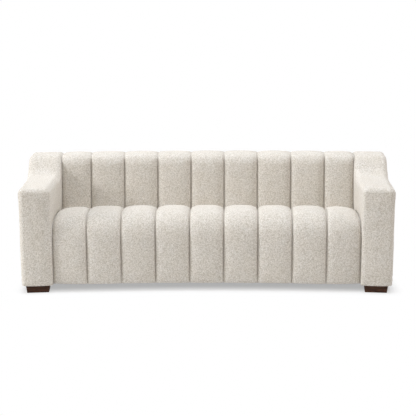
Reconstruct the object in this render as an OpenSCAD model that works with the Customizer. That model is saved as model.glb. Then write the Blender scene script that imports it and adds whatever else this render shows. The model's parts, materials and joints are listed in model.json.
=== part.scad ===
// Three-seat sofa with channelled seat and back, swept arms and a front that curves inwards

/* [Overall] */
// Width over the fronts of the arms
front_w = 2290; // [2100:10:2500]
// Height of the back
back_h = 780; // [760:2:820]
// Radius of the curve that the seat front follows
front_r = 9500; // [8000:100:16000]
// Height of the feet with their glides
foot_h = 50; // [40:1:70]

/* [Seat] */
// Depth of the seat along its seams, front to back
seat_d = 555; // [530:5:580]
// Height of the seams at the top of the rounded front
seat_h = 475; // [465:5:490]
// Number of channels across the seat and the back
channel_count = 9; // [5:2:11]
// How far a channel stands out from its seams
crown = 20; // [8:1:28]
// Depth of the rounded front of the seat
nose_d = 140; // [110:5:170]
// Height of the rounded front of the seat
nose_h = 140; // [130:5:160]
// Fall of the seams from the top of the rounded front to the back of the seat
seat_fall = 55; // [45:1:60]
// How far the seat edge draws back beside an arm
edge_drop = 40; // [20:1:44]
// Thickness of the channelled cover and its fill, seat front
front_fill = 45; // [42:1:50]
// Thickness of the channelled cover and its fill, seat top
top_fill = 62; // [62:1:68]

/* [Arms] */
// Thickness of an arm at its front
arm_w = 192; // [170:2:220]
// Drop of the rear of the arm tops below the back
arm_drop = 2; // [1:1:12]
// Drop of the front of the arm tops below their rear
arm_step = 120; // [105:5:140]
// Angle that the inside of an arm turns outwards
arm_in_turn = 3; // [2:0.2:5]
// Angle that the outside of an arm turns outwards
arm_out_turn = 5.4; // [4:0.2:6]
// Depth of the level part at the rear of an arm top
arm_level_d = 156; // [140:2:190]
// Steepest angle of the rise
rise_angle = 45; // [40:1:50]
// Radius at the foot of the rise
rise_r = 160; // [120:5:180]
// Radius at the head of the rise
head_r = 90; // [60:5:110]
// Radius of the padded edges of the arms
edge_r = 35; // [30:1:40]
// Crown of the front of an arm
arm_crown = 6; // [2:1:6]

/* [Back] */
// Depth of the back, from the seams at the rear of the seat to the outer back
back_d = 295; // [285:5:340]
// Lean of the inside of the back
back_lean = 14; // [11:0.5:16]
// Thickness of the channelled cover and its fill, inside back
back_fill = 30; // [26:1:36]
// Thickness of the back foam
back_foam_t = 50; // [40:1:60]
// Radius at the front of the top of the back
back_front_r = 70; // [50:1:75]
// Radius at the rear of the top of the back
back_rear_r = 25; // [20:1:30]
// Thickness of the outer back cover
outer_cover_t = 8; // [5:1:10]

/* [Feet] */
// Width of a foot at its top
foot_w = 145; // [110:1:150]
// Depth of a foot at its top
foot_d = 100; // [80:1:120]
// Draw-in of each side of a foot at the floor
foot_taper = 5; // [2:0.5:10]
// Set-back of the front feet from the arm front
foot_setback = 12; // [10:1:60]
// Distance from the outer back to the middle of the rear feet
rear_foot_inset = 110; // [95:1:160]
// Diameter of a glide
glide_d = 30; // [20:1:40]
// Thickness of a glide
glide_t = 4; // [3:0.5:6]
// How far a glide stands out below its foot
glide_show = 2; // [1:0.5:2.5]
// Diameter of a hanger bolt
bolt_d = 8; // [6:1:10]

/* [Frame] */
// Thickness of the seat rails
rail_t = 28; // [22:1:30]
// Height of the top of the seat rails
rail_top_h = 270; // [240:5:275]
// Thickness of the arm panels
panel_t = 12; // [9:1:15]
// Thickness of the arm front board
board_t = 22; // [18:1:28]
// Thickness of the arm padding over the frame
cover_t = 12; // [10:1:15]
// Radius of the hollow in the arm padding
inner_r = 12; // [10:1:14]
// Thickness of the foam slab inside an arm
arm_foam_t = 20; // [16:1:24]
// Thickness of a back rib
rib_t = 22; // [18:1:30]
// Number of back ribs
rib_count = 5; // [3:2:5]
// Height of a foot block
block_h = 60; // [50:1:70]
// Distance between the middles of the centre stretchers
stretcher_gap = 150; // [140:5:180]
// Height of a seat stretcher
stretcher_h = 120; // [110:5:150]

/* [Springs] */
// Number of seat springs
spring_count = 12; // [8:2:16]
// Width of a seat spring
spring_w = 52; // [46:1:60]
// Diameter of the spring wire
wire_d = 4; // [3:0.5:5]
// Length taken by one half wave of a spring
spring_pitch = 38; // [34:1:44]

/* [Hidden] */

// Clearance between neighbouring pieces
fit = 0.3;
// Length by which cuts run past the surfaces they open
overrun = 200;
// Facets of the large curves and of the small round parts
curve_fn = 720;
round_fn = 48;

// Heights of the bottom of the frame, of the deck and of the seat foam
dust_t = 1;
frame_z = foot_h + dust_t;
clip_h = 10.6;
deck_t = 2;
deck_z = rail_top_h + clip_h + fit;
foam_z = deck_z + deck_t + fit;
crease_h = seat_h - seat_fall;
foam_top = crease_h - top_fill - fit;

// Height of the seams on top of the back, and the share of the crown left there
top_crown_share = 0.4;
back_top = back_h - crown * top_crown_share;
back_hem = foam_top + 2 * fit;
rear_hem_drop = 40;
rear_hem = back_top - rear_hem_drop;
arm_back_h = back_h - arm_drop;
arm_h = arm_back_h - arm_step;

// Depth at the middle, from the seams of the seat front to the outer back
body_d = seat_d + back_d;

// Seat width between the arms, and the angle of the middle of an arm on the curve
seat_w = front_w - 2 * arm_w;
channel_w = seat_w / channel_count;
arm_a = asin((seat_w / 2 + arm_w / 2) / front_r);
in_lean = arm_a - arm_in_turn;
out_lean = arm_a - arm_out_turn;

// The middle of the curve lies in front, so that the whole outline is centred on the origin
arm_front_reach = front_r * cos(arm_a) - (arm_w / 2 - edge_r) * sin(arm_a);
center_y = -(arm_front_reach + front_r + body_d) / 2;
wide_a = asin(front_w / 2 / front_r);

// Depths of the parts of the frame, measured back from the seams of the seat front
front_rail_l = front_fill + fit;
rear_rail_l = seat_d + back_fill + back_foam_t - rail_t + 5 * fit;
rib_l = rear_rail_l + rail_t + fit;
panel_back_l = body_d - outer_cover_t - fit;
back_panel_t = 3;
sill_t = 22;
sill_h = 70;
slat_h = 60;
frame_back_l = panel_back_l - back_panel_t - fit;
sill_l = frame_back_l - sill_t;
top_board_t = 18;
top_board_z = back_top - back_fill - fit - top_board_t;

// Arm pieces, measured in from the inner or the outer face of the arm
pad_face = cover_t + fit;
rail_face = pad_face + arm_foam_t + fit;
post_face = rail_face + panel_t + fit;
outer_panel_more = 3;
outer_panel_t = panel_t + outer_panel_more;
outer_post_face = pad_face + outer_panel_t + fit;
arm_board_t = 11.7;
corner_share = 0.9;
corner_inset = cover_t + corner_share * inner_r;
board_top_inset = pad_face + arm_board_t + fit;
panel_front_v = pad_face + board_t + fit;
panel_rear_v = sill_l - fit;
post_t = 24;
side_rail_v = front_rail_l + fit;

// Lean of the inside of the back as a slope, and depths along it at a height
lean_slope = tan(back_lean);
function back_l(z) = seat_d + (z - crease_h) * lean_slope;
function lean_depth(z, t) = back_l(z) + t / cos(back_lean);

// Places in plan: on an arm, and on the curve at an angle and a depth
function arm_xy(u, v) = [
    front_r * sin(arm_a) + u * cos(arm_a) + v * sin(arm_a),
    center_y + front_r * cos(arm_a) - u * sin(arm_a) + v * cos(arm_a)];
function inner_u(v, inset) = -arm_w / 2 - v * tan(in_lean) + inset;
function outer_u(v, inset) = arm_w / 2 - v * tan(out_lean) - inset;
function curve_point(a, l, z) = [(front_r + l) * sin(a), center_y + (front_r + l) * cos(a), z];

// Angle at which the curve at a depth meets the inside of an arm
function arm_line_a(l) =
    let (
        start = arm_xy(inner_u(0, -fit), 0) - [0, center_y],
        dir = [sin(arm_in_turn), cos(arm_in_turn)],
        b = start * dir,
        k = sqrt(b * b + (front_r + l) * (front_r + l) - start * start) - b,
        p = start + k * dir)
    atan2(p[0], p[1]);

// Angle of a place across the channels, from minus half the count to plus half the count
function channel_a(q, l) =
    let (
        seam = channel_count / 2 - 1,
        side = sign(q),
        a = channel_w / front_r * 180 / PI,
        past = abs(q) - seam)
    past <= 0 ? q * a : side * (seam * a + past * (arm_line_a(l) - seam * a));

// Rise of a channel over its seams: nil at the seams, one in the middle, with full shoulders
shoulder_power = 2.6;
crown_power = 0.62;
function channel_rise(q) =
    let (t = q + channel_count / 2, across = abs(2 * (t - floor(t)) - 1))
    across >= 1 ? 0 : pow(1 - pow(across, shoulder_power), crown_power);

// Share of the draw-back beside an arm: nil at the last seam, one at the arm
edge_power = 1.3;
function edge_share(q) = pow(max(0, abs(q) - channel_count / 2 + 1), edge_power);

// Places of the rings across one channel, as shares of its width
ring_shares = [0, 0.07, 0.22, 0.5, 0.78, 0.93];
ring_places = concat(
    [for (c = [0:channel_count - 1], t = ring_shares) c + t - channel_count / 2],
    [channel_count / 2]);

function backwards(list) = [for (k = [len(list) - 1:-1:0]) list[k]];

// Faces over the end of a ring, where joins gives the point of the hollow that each outer point meets
function end_faces(joins) = [
    for (j = [0:len(joins) - 2])
    let (a = [j, j + 1, joins[j]], b = [j + 1, joins[j + 1], joins[j]])
    each joins[j] == joins[j + 1] ? [a] : [a, b]];

// Skin of triangles through rings that hold the same number of points, closed at both ends
module ring_skin(rings, joins) {
    n = len(rings);
    m = len(rings[0]);
    sides = [for (i = [0:n - 2], j = [0:m - 1])
        let (a = i * m + j, b = i * m + (j + 1) % m)
        each [[a, b, a + m], [b, b + m, a + m]]];
    first = [for (f = end_faces(joins)) backwards(f)];
    last = [for (f = end_faces(joins)) [for (p = f) (n - 1) * m + p]];
    polyhedron([for (r = rings) each r], concat(sides, first, last));
}

// Outline in depth and height, swept along the curve as far as an angle to each side
module swept(a) {
    translate([0, center_y, 0])
        rotate([0, 0, 90 - a])
            rotate_extrude(angle = 2 * a, $fn = curve_fn)
                translate([front_r, 0])
                    children();
}

// Place at an angle on the curve, with depth along Y
module at_angle(a) {
    translate([0, center_y, 0])
        rotate([0, 0, -a])
            translate([0, front_r, 0])
                children();
}

// Prism over the seat, between the insides of the arms
module seat_bay(inset) {
    front = arm_xy(inner_u(-overrun, -inset), -overrun);
    rear = arm_xy(inner_u(body_d + overrun, -inset), body_d + overrun);
    linear_extrude(back_h)
        polygon([[-front[0], front[1]], front, rear, [-rear[0], rear[1]]]);
}

// Prism between the outsides of the arms
module arm_bay(inset) {
    front = arm_xy(outer_u(-overrun, inset), -overrun);
    rear = arm_xy(outer_u(body_d + overrun, inset), body_d + overrun);
    linear_extrude(back_h)
        polygon([[-front[0], front[1]], front, rear, [-rear[0], rear[1]]]);
}

// Arm frame of reference: X across the arm, Y back along it; side is 1 for right and -1 for left
module in_arm(side) {
    mirror([side < 0 ? 1 : 0, 0, 0])
        translate([front_r * sin(arm_a), center_y + front_r * cos(arm_a), 0])
            rotate([0, 0, -arm_a])
                children();
}

// Frames at the inner and the outer face of an arm
module at_inner_face() {
    translate([-arm_w / 2, 0, 0])
        rotate([0, 0, in_lean])
            children();
}

module at_outer_face() {
    translate([arm_w / 2, 0, 0])
        rotate([0, 0, out_lean])
            children();
}

// Outline in depth and height, raised to a thickness across
module upright(outline, t) {
    rotate([90, 0, 90])
        linear_extrude(t)
            polygon(outline);
}

// Top of the arm where it rises, inset by a depth, from front to back
arc_steps = 5;
rise_run = (arm_step - (rise_r + head_r) * (1 - cos(rise_angle))) / tan(rise_angle);
head_v = body_d - arm_level_d;
rise_start = head_v - (rise_r + head_r) * sin(rise_angle) - rise_run;
function arm_rise(inset) = concat(
    [for (k = [0:arc_steps])
        let (p = rise_angle * k / arc_steps)
        [rise_start + (rise_r + inset) * sin(p), arm_h + rise_r - (rise_r + inset) * cos(p)]],
    [for (k = [arc_steps:-1:0])
        let (p = rise_angle * k / arc_steps)
        [head_v - (head_r - inset) * sin(p), arm_back_h - head_r + (head_r - inset) * cos(p)]]);

// Side outline of an arm board from a bottom height up to the inset top
function arm_outline(bottom, front_v, rear_v, inset, stretch) = [
    for (p = concat(
        [[front_v, bottom], [front_v, arm_h - inset]],
        arm_rise(inset),
        [[rear_v, arm_back_h - inset], [rear_v, bottom]]))
    [p[0] * stretch, p[1]]];

// Feet

foot_z = glide_show;
bolt_fit = 0.6;
bolt_bore_z = 14;
nut_barrel_h = 12;
nut_wall = 2;
nut_barrel_d = bolt_d + 2 * nut_wall;
nut_flange_d = 3 * bolt_d;
nut_flange_t = 2;
bolt_end = 3;
block_top = frame_z + block_h;
front_foot_v = foot_setback + foot_d / 2;
rear_foot_v = body_d - rear_foot_inset;
center_foot_l = (front_rail_l + rear_rail_l) / 2;

function arm_middle(v) = (inner_u(v, 0) + outer_u(v, 0)) / 2;

module at_arm_foot(side, v) {
    in_arm(side)
        translate([arm_middle(v), v, 0])
            children();
}

module tapered(w, h, taper) {
    rotate([90, 0, 0])
        linear_extrude(w + 2 * overrun, center = true)
            polygon([[-w / 2 + taper, 0], [w / 2 - taper, 0], [w / 2, h], [-w / 2, h]]);
}

module foot() {
    color("#3c2716")
    difference() {
        translate([0, 0, foot_z])
            intersection() {
                tapered(foot_w, foot_h - foot_z, foot_taper);
                rotate([0, 0, 90])
                    tapered(foot_d, foot_h - foot_z, foot_taper);
            }
        translate([0, 0, bolt_bore_z])
            cylinder(h = foot_h, d = bolt_d + bolt_fit, $fn = round_fn);
        cylinder(h = glide_t + fit, d = glide_d + bolt_fit, $fn = round_fn);
    }
}

module foot_glide() {
    cylinder(h = glide_t, d = glide_d, $fn = round_fn);
}

module foot_bolt() {
    translate([0, 0, bolt_bore_z + fit])
        cylinder(h = block_top + nut_flange_t + bolt_end - bolt_bore_z, d = bolt_d, $fn = round_fn);
}

module tee_nut() {
    difference() {
        union() {
            translate([0, 0, block_top])
                cylinder(h = nut_flange_t, d = nut_flange_d, $fn = round_fn);
            translate([0, 0, block_top - nut_barrel_h])
                cylinder(h = nut_barrel_h + nut_flange_t, d = nut_barrel_d, $fn = round_fn);
        }
        translate([0, 0, block_top - nut_barrel_h - overrun])
            cylinder(h = 2 * overrun + nut_barrel_h, d = bolt_d + bolt_fit, $fn = round_fn);
    }
}

module block_bore() {
    cylinder(h = back_h, d = bolt_d + bolt_fit, $fn = round_fn);
    translate([0, 0, block_top - nut_barrel_h - fit])
        cylinder(h = back_h, d = nut_barrel_d + bolt_fit, $fn = round_fn);
}

// One child at each of the five feet
module at_all_feet() {
    for (side = [-1, 1], v = [front_foot_v, rear_foot_v])
        at_arm_foot(side, v)
            children();
    at_angle(0)
        translate([0, center_foot_l, 0])
            children();
}

module foot_front_left() {
    at_arm_foot(-1, front_foot_v)
        foot();
}

module foot_front_right() {
    at_arm_foot(1, front_foot_v)
        foot();
}

module foot_rear_left() {
    at_arm_foot(-1, rear_foot_v)
        foot();
}

module foot_rear_right() {
    at_arm_foot(1, rear_foot_v)
        foot();
}

module foot_center() {
    at_angle(0)
        translate([0, center_foot_l, 0])
            foot();
}

module foot_glides() {
    color("#d8d4cc")
    at_all_feet()
        foot_glide();
}

module foot_bolts() {
    color("#b9bcc0")
    at_all_feet()
        foot_bolt();
}

module foot_tee_nuts() {
    color("#b9bcc0")
    at_all_feet()
        tee_nut();
}

// Block between the arm panels, over a foot
module arm_foot_block(side, v, front_v, rear_v) {
    color("#c9a878")
    difference() {
        in_arm(side)
            translate([0, 0, frame_z])
                linear_extrude(block_h)
                    polygon([
                        [inner_u(front_v, post_face), front_v],
                        [outer_u(front_v, outer_post_face), front_v],
                        [outer_u(rear_v, outer_post_face), rear_v],
                        [inner_u(rear_v, post_face), rear_v]]);
        at_arm_foot(side, v)
            block_bore();
    }
}

module foot_block_front_left() {
    arm_foot_block(-1, front_foot_v, panel_front_v, panel_front_v + foot_w);
}

module foot_block_front_right() {
    arm_foot_block(1, front_foot_v, panel_front_v, panel_front_v + foot_w);
}

module foot_block_rear_left() {
    arm_foot_block(-1, rear_foot_v, panel_rear_v - foot_w, panel_rear_v);
}

module foot_block_rear_right() {
    arm_foot_block(1, rear_foot_v, panel_rear_v - foot_w, panel_rear_v);
}

module foot_block_center() {
    color("#c9a878")
    at_angle(0)
        translate([0, center_foot_l, 0])
            difference() {
                translate([-stretcher_gap / 2 + rail_t / 2 + fit, -foot_d / 2, frame_z])
                    cube([stretcher_gap - rail_t - 2 * fit, foot_d, block_h]);
                block_bore();
            }
}

// Seat frame

arm_bolt_d = 8;
arm_bolt_head_d = 15;
arm_bolt_head_t = 5;
arm_bolt_inset = 84;
arm_bolt_vs = [
    side_rail_v + arm_bolt_inset,
    (side_rail_v + rear_rail_l) / 2,
    rear_rail_l - arm_bolt_inset];
arm_bolt_z = (frame_z + block_top + rail_top_h) / 2 - rail_t / 2;
arm_nut_t = 6;
screw_d = 5;
screw_head_d = 10;
screw_l = 80;
screw_zs = [frame_z + rail_t, rail_top_h - rail_t];

// Angles of the back ribs: the outer ribs stand against the arms
function rib_a(i) =
    let (
        line = arm_line_a(rib_l),
        edge = (rib_t / 2 + 2 * panel_t) / front_r * 180 / PI)
    (2 * i / (rib_count - 1) - 1) * (line - edge);

module rail(l) {
    color("#c9a878")
    intersection() {
        swept(wide_a)
            translate([l, frame_z])
                square([rail_t, rail_top_h - frame_z]);
        seat_bay(fit);
    }
}

module front_rail() {
    rail(front_rail_l);
}

module rib_screw_bores() {
    for (i = [0:rib_count - 1], z = screw_zs)
        at_angle(rib_a(i))
            translate([0, rear_rail_l, z])
                rotate([-90, 0, 0])
                    children();
}

module screw(extra) {
    head_h = (screw_head_d - screw_d) / 2;
    cylinder(h = screw_l + extra, d = screw_d + extra, $fn = round_fn);
    cylinder(h = head_h, d1 = screw_head_d + extra, d2 = screw_d + extra, $fn = round_fn);
}

module rear_rail() {
    difference() {
        rail(rear_rail_l);
        rib_screw_bores()
            screw(fit);
    }
}

module at_arm_bolts() {
    for (v = arm_bolt_vs)
        at_inner_face()
            translate([0, v, arm_bolt_z])
                rotate([0, 90, 0])
                    children();
}

module arm_bolt_bores() {
    at_arm_bolts()
        translate([0, 0, -overrun])
            cylinder(h = 2 * overrun + rail_face, d = arm_bolt_d + bolt_fit, $fn = round_fn);
}

module side_rail(side) {
    color("#c9a878")
    in_arm(side)
        difference() {
            at_inner_face()
                translate([fit, side_rail_v, frame_z])
                    cube([rail_face - 2 * fit, rib_l - side_rail_v, rail_top_h - frame_z]);
            arm_bolt_bores();
        }
}

module side_rail_left() {
    side_rail(-1);
}

module side_rail_right() {
    side_rail(1);
}

// The outer stretchers stand at an angle, and the middle two hold the centre block
stretcher_share = 0.55;

module stretcher(side) {
    front_l = front_rail_l + rail_t + fit;
    color("#c9a878")
    at_angle(side * arm_a * stretcher_share)
        translate([-rail_t / 2, front_l, frame_z])
            cube([rail_t, rear_rail_l - fit - front_l, stretcher_h]);
}

module center_stretcher(side) {
    front_l = front_rail_l + rail_t + 2 * fit;
    color("#c9a878")
    at_angle(0)
        translate([side * stretcher_gap / 2 - rail_t / 2, front_l, frame_z])
            cube([rail_t, rear_rail_l - 2 * fit - front_l, stretcher_h]);
}

module stretcher_1() {
    stretcher(-1);
}

module stretcher_2() {
    center_stretcher(-1);
}

module stretcher_3() {
    center_stretcher(1);
}

module stretcher_4() {
    stretcher(1);
}

// Arm frames

module arm_inner_panel(side) {
    color("#d9bd8c")
    in_arm(side)
        difference() {
            at_inner_face()
                translate([rail_face, 0, 0])
                    upright(
                        arm_outline(frame_z, panel_front_v, panel_rear_v, board_top_inset, 1 / cos(in_lean)),
                        panel_t);
            arm_bolt_bores();
        }
}

module arm_inner_panel_left() {
    arm_inner_panel(-1);
}

module arm_inner_panel_right() {
    arm_inner_panel(1);
}

module arm_outer_panel(side) {
    color("#d9bd8c")
    in_arm(side)
        at_outer_face()
            translate([-pad_face - outer_panel_t, 0, 0])
                upright(
                    arm_outline(frame_z, panel_front_v, panel_rear_v, board_top_inset, 1 / cos(out_lean)),
                    outer_panel_t);
}

module arm_outer_panel_left() {
    arm_outer_panel(-1);
}

module arm_outer_panel_right() {
    arm_outer_panel(1);
}

// Slab across an arm between two depths, inset from its faces
module arm_slab(front_v, rear_v, inner_inset, outer_inset, z, h) {
    translate([0, 0, z])
        linear_extrude(h)
            polygon([
                [inner_u(front_v, inner_inset), front_v],
                [outer_u(front_v, outer_inset), front_v],
                [outer_u(rear_v, outer_inset), rear_v],
                [inner_u(rear_v, inner_inset), rear_v]]);
}

module arm_front_board(side) {
    color("#c9a878")
    in_arm(side)
        arm_slab(pad_face, pad_face + board_t, corner_inset, corner_inset,
            frame_z, arm_h - board_top_inset - frame_z);
}

module arm_front_board_left() {
    arm_front_board(-1);
}

module arm_front_board_right() {
    arm_front_board(1);
}

module arm_top_board(side) {
    color("#d9bd8c")
    in_arm(side)
        intersection() {
            translate([-arm_w, 0, 0])
                upright(concat(
                    [[corner_inset, arm_h - pad_face]],
                    arm_rise(pad_face),
                    [[panel_rear_v, arm_back_h - pad_face],
                     [panel_rear_v, arm_back_h - pad_face - arm_board_t]],
                    [for (k = [2 * arc_steps + 1:-1:0]) arm_rise(pad_face + arm_board_t)[k]],
                    [[corner_inset, arm_h - pad_face - arm_board_t]]),
                    2 * arm_w);
            arm_slab(0, body_d, corner_inset, corner_inset, 0, back_h);
        }
}

module arm_top_board_left() {
    arm_top_board(-1);
}

module arm_top_board_right() {
    arm_top_board(1);
}

module arm_middle_post(side) {
    color("#c9a878")
    in_arm(side)
        arm_slab(rise_start - post_t, rise_start, post_face, outer_post_face,
            frame_z, arm_h - board_top_inset - frame_z);
}

module arm_middle_post_left() {
    arm_middle_post(-1);
}

module arm_middle_post_right() {
    arm_middle_post(1);
}

module arm_rear_post(side) {
    color("#c9a878")
    in_arm(side)
        arm_slab(panel_rear_v - post_t, panel_rear_v, post_face, outer_post_face,
            block_top + fit, arm_back_h - board_top_inset - block_top - fit);
}

module arm_rear_post_left() {
    arm_rear_post(-1);
}

module arm_rear_post_right() {
    arm_rear_post(1);
}

module arm_bolts() {
    color("#b9bcc0")
    for (side = [-1, 1])
        in_arm(side)
            at_arm_bolts() {
                translate([0, 0, -arm_bolt_head_t])
                    cylinder(h = arm_bolt_head_t, d = arm_bolt_head_d, $fn = round_fn);
                cylinder(h = rail_face + panel_t + arm_nut_t + bolt_end, d = arm_bolt_d, $fn = round_fn);
            }
}

module arm_nuts() {
    color("#b9bcc0")
    for (side = [-1, 1])
        in_arm(side)
            at_arm_bolts()
                translate([0, 0, rail_face + panel_t + fit])
                    difference() {
                        cylinder(h = arm_nut_t, d = arm_bolt_head_d, $fn = 6);
                        translate([0, 0, -overrun])
                            cylinder(h = 2 * overrun, d = arm_bolt_d + bolt_fit, $fn = round_fn);
                    }
}

// Foam slab on the inside of an arm, above the deck
module arm_foam(side) {
    color("#e8dcae")
    in_arm(side)
        at_inner_face()
            translate([pad_face, 0, 0])
                upright(
                    arm_outline(foam_z, panel_front_v, panel_rear_v, board_top_inset, 1 / cos(in_lean)),
                    arm_foam_t);
}

module arm_foam_left() {
    arm_foam(-1);
}

module arm_foam_right() {
    arm_foam(1);
}

// Padded cover of an arm: rings over the arm, outside and hollow, from its rear to its front
corner_steps = 3;
min_corner = 2;
path_count = 2 * corner_steps + 7;

// Path over the arm at one depth, from the outside bottom over the top to the inside bottom. A point
// stands halfway up each wall, or at the height that split gives
function arm_path(v, top, r, inset, outer_z, inner_z, split = undef) =
    let (
        out_u = outer_u(v, inset),
        in_u = inner_u(v, inset),
        round = min(r, (top - outer_z) / 2, (top - inner_z) / 2),
        outer_mid = split == undef ? (outer_z + top - round) / 2 : split,
        inner_mid = split == undef ? (inner_z + top - round) / 2 : split)
    concat(
        [[out_u, v, outer_z], [out_u, v, outer_mid]],
        [for (k = [0:corner_steps])
            let (p = 90 * k / corner_steps)
            [out_u - round + round * cos(p), v, top - round + round * sin(p)]],
        [[(in_u + out_u) / 2, v, top]],
        [for (k = [corner_steps:-1:0])
            let (p = 90 * k / corner_steps)
            [in_u + round - round * cos(p), v, top - round + round * sin(p)]],
        [[in_u, v, inner_mid], [in_u, v, inner_z]]);

// One ring: the outer path, then the path of the hollow the other way
function arm_ring(outer, hollow) = concat(outer, backwards(hollow));

// Two triangles between the step from a to b and the step from c to d, split along the shorter diagonal
function quad(points, a, b, c, d) =
    norm(points[c] - points[b]) < norm(points[a] - points[d])
        ? [[a, c, b], [b, c, d]]
        : [[a, c, d], [a, d, b]];

arm_wall_shares = [0.5, 0];
arm_rear_v = frame_back_l - back_panel_t;
round_angles = [0, 30, 60, 90];

function arm_rings() = concat(
    [arm_ring(
        arm_path(body_d, arm_back_h, edge_r, 0, rear_hem, rear_hem),
        arm_path(body_d, rear_hem + cover_t, inner_r, cover_t, rear_hem, rear_hem)),
     arm_ring(
        arm_path(frame_back_l, arm_back_h, edge_r, 0, rear_hem, rear_hem),
        arm_path(frame_back_l, arm_back_h - cover_t, inner_r, cover_t, rear_hem, rear_hem)),
     arm_ring(
        arm_path(arm_rear_v, arm_back_h, edge_r, 0, foot_h, foam_z, rear_hem),
        arm_path(arm_rear_v, arm_back_h - cover_t, inner_r, cover_t, foot_h, foam_z, rear_hem))],
    [for (k = [2 * arc_steps + 1:-1:0])
        let (o = arm_rise(0)[k], h = arm_rise(cover_t)[k])
        arm_ring(
            arm_path(o[0], o[1], edge_r, 0, foot_h, foam_z),
            arm_path(h[0], h[1], inner_r, cover_t, foot_h, foam_z))],
    [for (s = arm_wall_shares)
        let (v = side_rail_v + (rise_start - side_rail_v) * s)
        arm_ring(
            arm_path(v, arm_h, edge_r, 0, foot_h, foam_z),
            arm_path(v, arm_h - cover_t, inner_r, cover_t, foot_h, foam_z))],
    [for (p = round_angles)
        arm_ring(
            arm_path(edge_r * (1 - sin(p)), arm_h - edge_r * (1 - cos(p)),
                max(edge_r * cos(p), min_corner), edge_r * (1 - cos(p)), foot_h, foot_h),
            arm_path(cover_t + inner_r * (1 - sin(p)), arm_h - cover_t - inner_r * (1 - cos(p)),
                max(inner_r * cos(p), min_corner), cover_t + inner_r * (1 - cos(p)), foot_h, foot_h))]);

// Middle line of the arm front, where the last ring closes
function arm_front_line(v, inset) = [
    for (k = [0:(path_count - 1) / 2])
    [arm_middle(v), v, foot_h + (arm_h - arm_w / 2 - inset - foot_h) * 2 * k / (path_count - 1)]];

module arm_cover(side) {
    rings = arm_rings();
    n = len(rings);
    m = 2 * path_count;
    half = (path_count - 1) / 2;
    base = n * m;
    points = concat(
        [for (r = rings) each r],
        arm_front_line(-arm_crown, edge_r),
        arm_front_line(cover_t, edge_r));
    last = [for (j = [0:m - 1])
        j < path_count ? base + min(j, path_count - 1 - j)
        : base + half + 1 + min(j - path_count, m - 1 - j)];
    sides = [for (i = [0:n - 2], j = [0:m - 1])
        let (a = i * m + j, b = i * m + (j + 1) % m)
        each quad(points, a, b, a + m, b + m)];
    front = [for (j = [0:m - 1])
        let (a = (n - 1) * m + j, b = (n - 1) * m + (j + 1) % m)
        each quad(points, a, b, last[j], last[(j + 1) % m])];
    rear = [for (j = [0:path_count - 2])
        each [[j, j + 1, m - 1 - j], [j + 1, m - 2 - j, m - 1 - j]]];
    color("#dcd5c8")
    in_arm(side)
        polyhedron(points, concat(sides, front, rear));
}

module arm_cover_left() {
    arm_cover(-1);
}

module arm_cover_right() {
    arm_cover(1);
}

// Back frame

webbing_t = 2;
webbing_w = 50;
webbing_shares = [0.1, 0.37, 0.64, 0.91];
rib_face_t = back_fill + back_foam_t + webbing_t + 3 * fit;
rib_knee_z = crease_h + (rib_l - seat_d - rib_face_t / cos(back_lean)) / lean_slope;
rib_top = top_board_z - fit;
rib_outline = [
    [rib_l, frame_z],
    [sill_l - fit, frame_z],
    [sill_l - fit, frame_z + sill_h + fit],
    [frame_back_l, frame_z + sill_h + fit],
    [frame_back_l, rib_top - slat_h - fit],
    [sill_l - fit, rib_top - slat_h - fit],
    [sill_l - fit, rib_top],
    [lean_depth(rib_top, rib_face_t), rib_top],
    [rib_l, rib_knee_z]];

module back_rib(i) {
    color("#c9a878")
    difference() {
        at_angle(rib_a(i - 1))
            translate([-rib_t / 2, 0, 0])
                upright(rib_outline, rib_t);
        rib_screw_bores()
            screw(fit);
    }
}

module back_rib_1() {
    back_rib(1);
}

module back_rib_2() {
    back_rib(2);
}

module back_rib_3() {
    back_rib(3);
}

module back_rib_4() {
    back_rib(4);
}

module back_rib_5() {
    back_rib(5);
}

// Board swept along the back, cut between two faces of the arms
module back_board(l, z, t, h) {
    swept(wide_a)
        translate([l, z])
            square([t, h]);
}

module back_top_board() {
    front_l = lean_depth(top_board_z + top_board_t, rib_face_t);
    color("#c9a878")
    intersection() {
        back_board(front_l, top_board_z, frame_back_l - front_l, top_board_t);
        seat_bay(fit);
    }
}

module back_slat() {
    color("#c9a878")
    intersection() {
        back_board(sill_l, rib_top - slat_h, sill_t, slat_h);
        seat_bay(fit);
    }
}

module back_sill() {
    color("#c9a878")
    intersection() {
        back_board(sill_l, frame_z, sill_t, sill_h);
        arm_bay(pad_face);
    }
}

module rib_screws() {
    color("#b9bcc0")
    rib_screw_bores()
        screw(0);
}

module back_webbing() {
    front_t = rib_face_t - webbing_t - fit;
    span = rib_top - webbing_w - rib_knee_z;
    color("#6d6a62")
    intersection() {
        swept(wide_a)
            for (s = webbing_shares)
                let (z = rib_knee_z + span * s, top = z + webbing_w * cos(back_lean))
                polygon([
                    [lean_depth(z, front_t), z],
                    [lean_depth(z, front_t + webbing_t), z],
                    [lean_depth(top, front_t + webbing_t), top],
                    [lean_depth(top, front_t), top]]);
        seat_bay(fit);
    }
}

module back_foam() {
    face = back_fill + fit;
    rear = back_fill + back_foam_t;
    top = back_top - back_fill - fit;
    knee = crease_h + (rib_l - fit - seat_d - rear / cos(back_lean)) / lean_slope;
    color("#e8dcae")
    intersection() {
        swept(wide_a)
            polygon([
                [lean_depth(foam_z, face), foam_z],
                [rib_l - fit, foam_z],
                [rib_l - fit, knee],
                [lean_depth(top, rear), top],
                [lean_depth(top, face), top]]);
        seat_bay(fit);
    }
}

// Inside back: the points of one ring, with the share of the crown that each point moves by
back_row_shares = [0, 0.14, 0.36, 0.6, 0.84];
back_low_crown_share = 0.7;
back_face_top = back_top - back_front_r + back_front_r * sin(back_lean);
back_corner_l = back_l(back_face_top) + back_front_r * cos(back_lean);
back_round_shares = [0.33, 0.67, 1];
back_rear_angles = [0, 45, 90];

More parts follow.
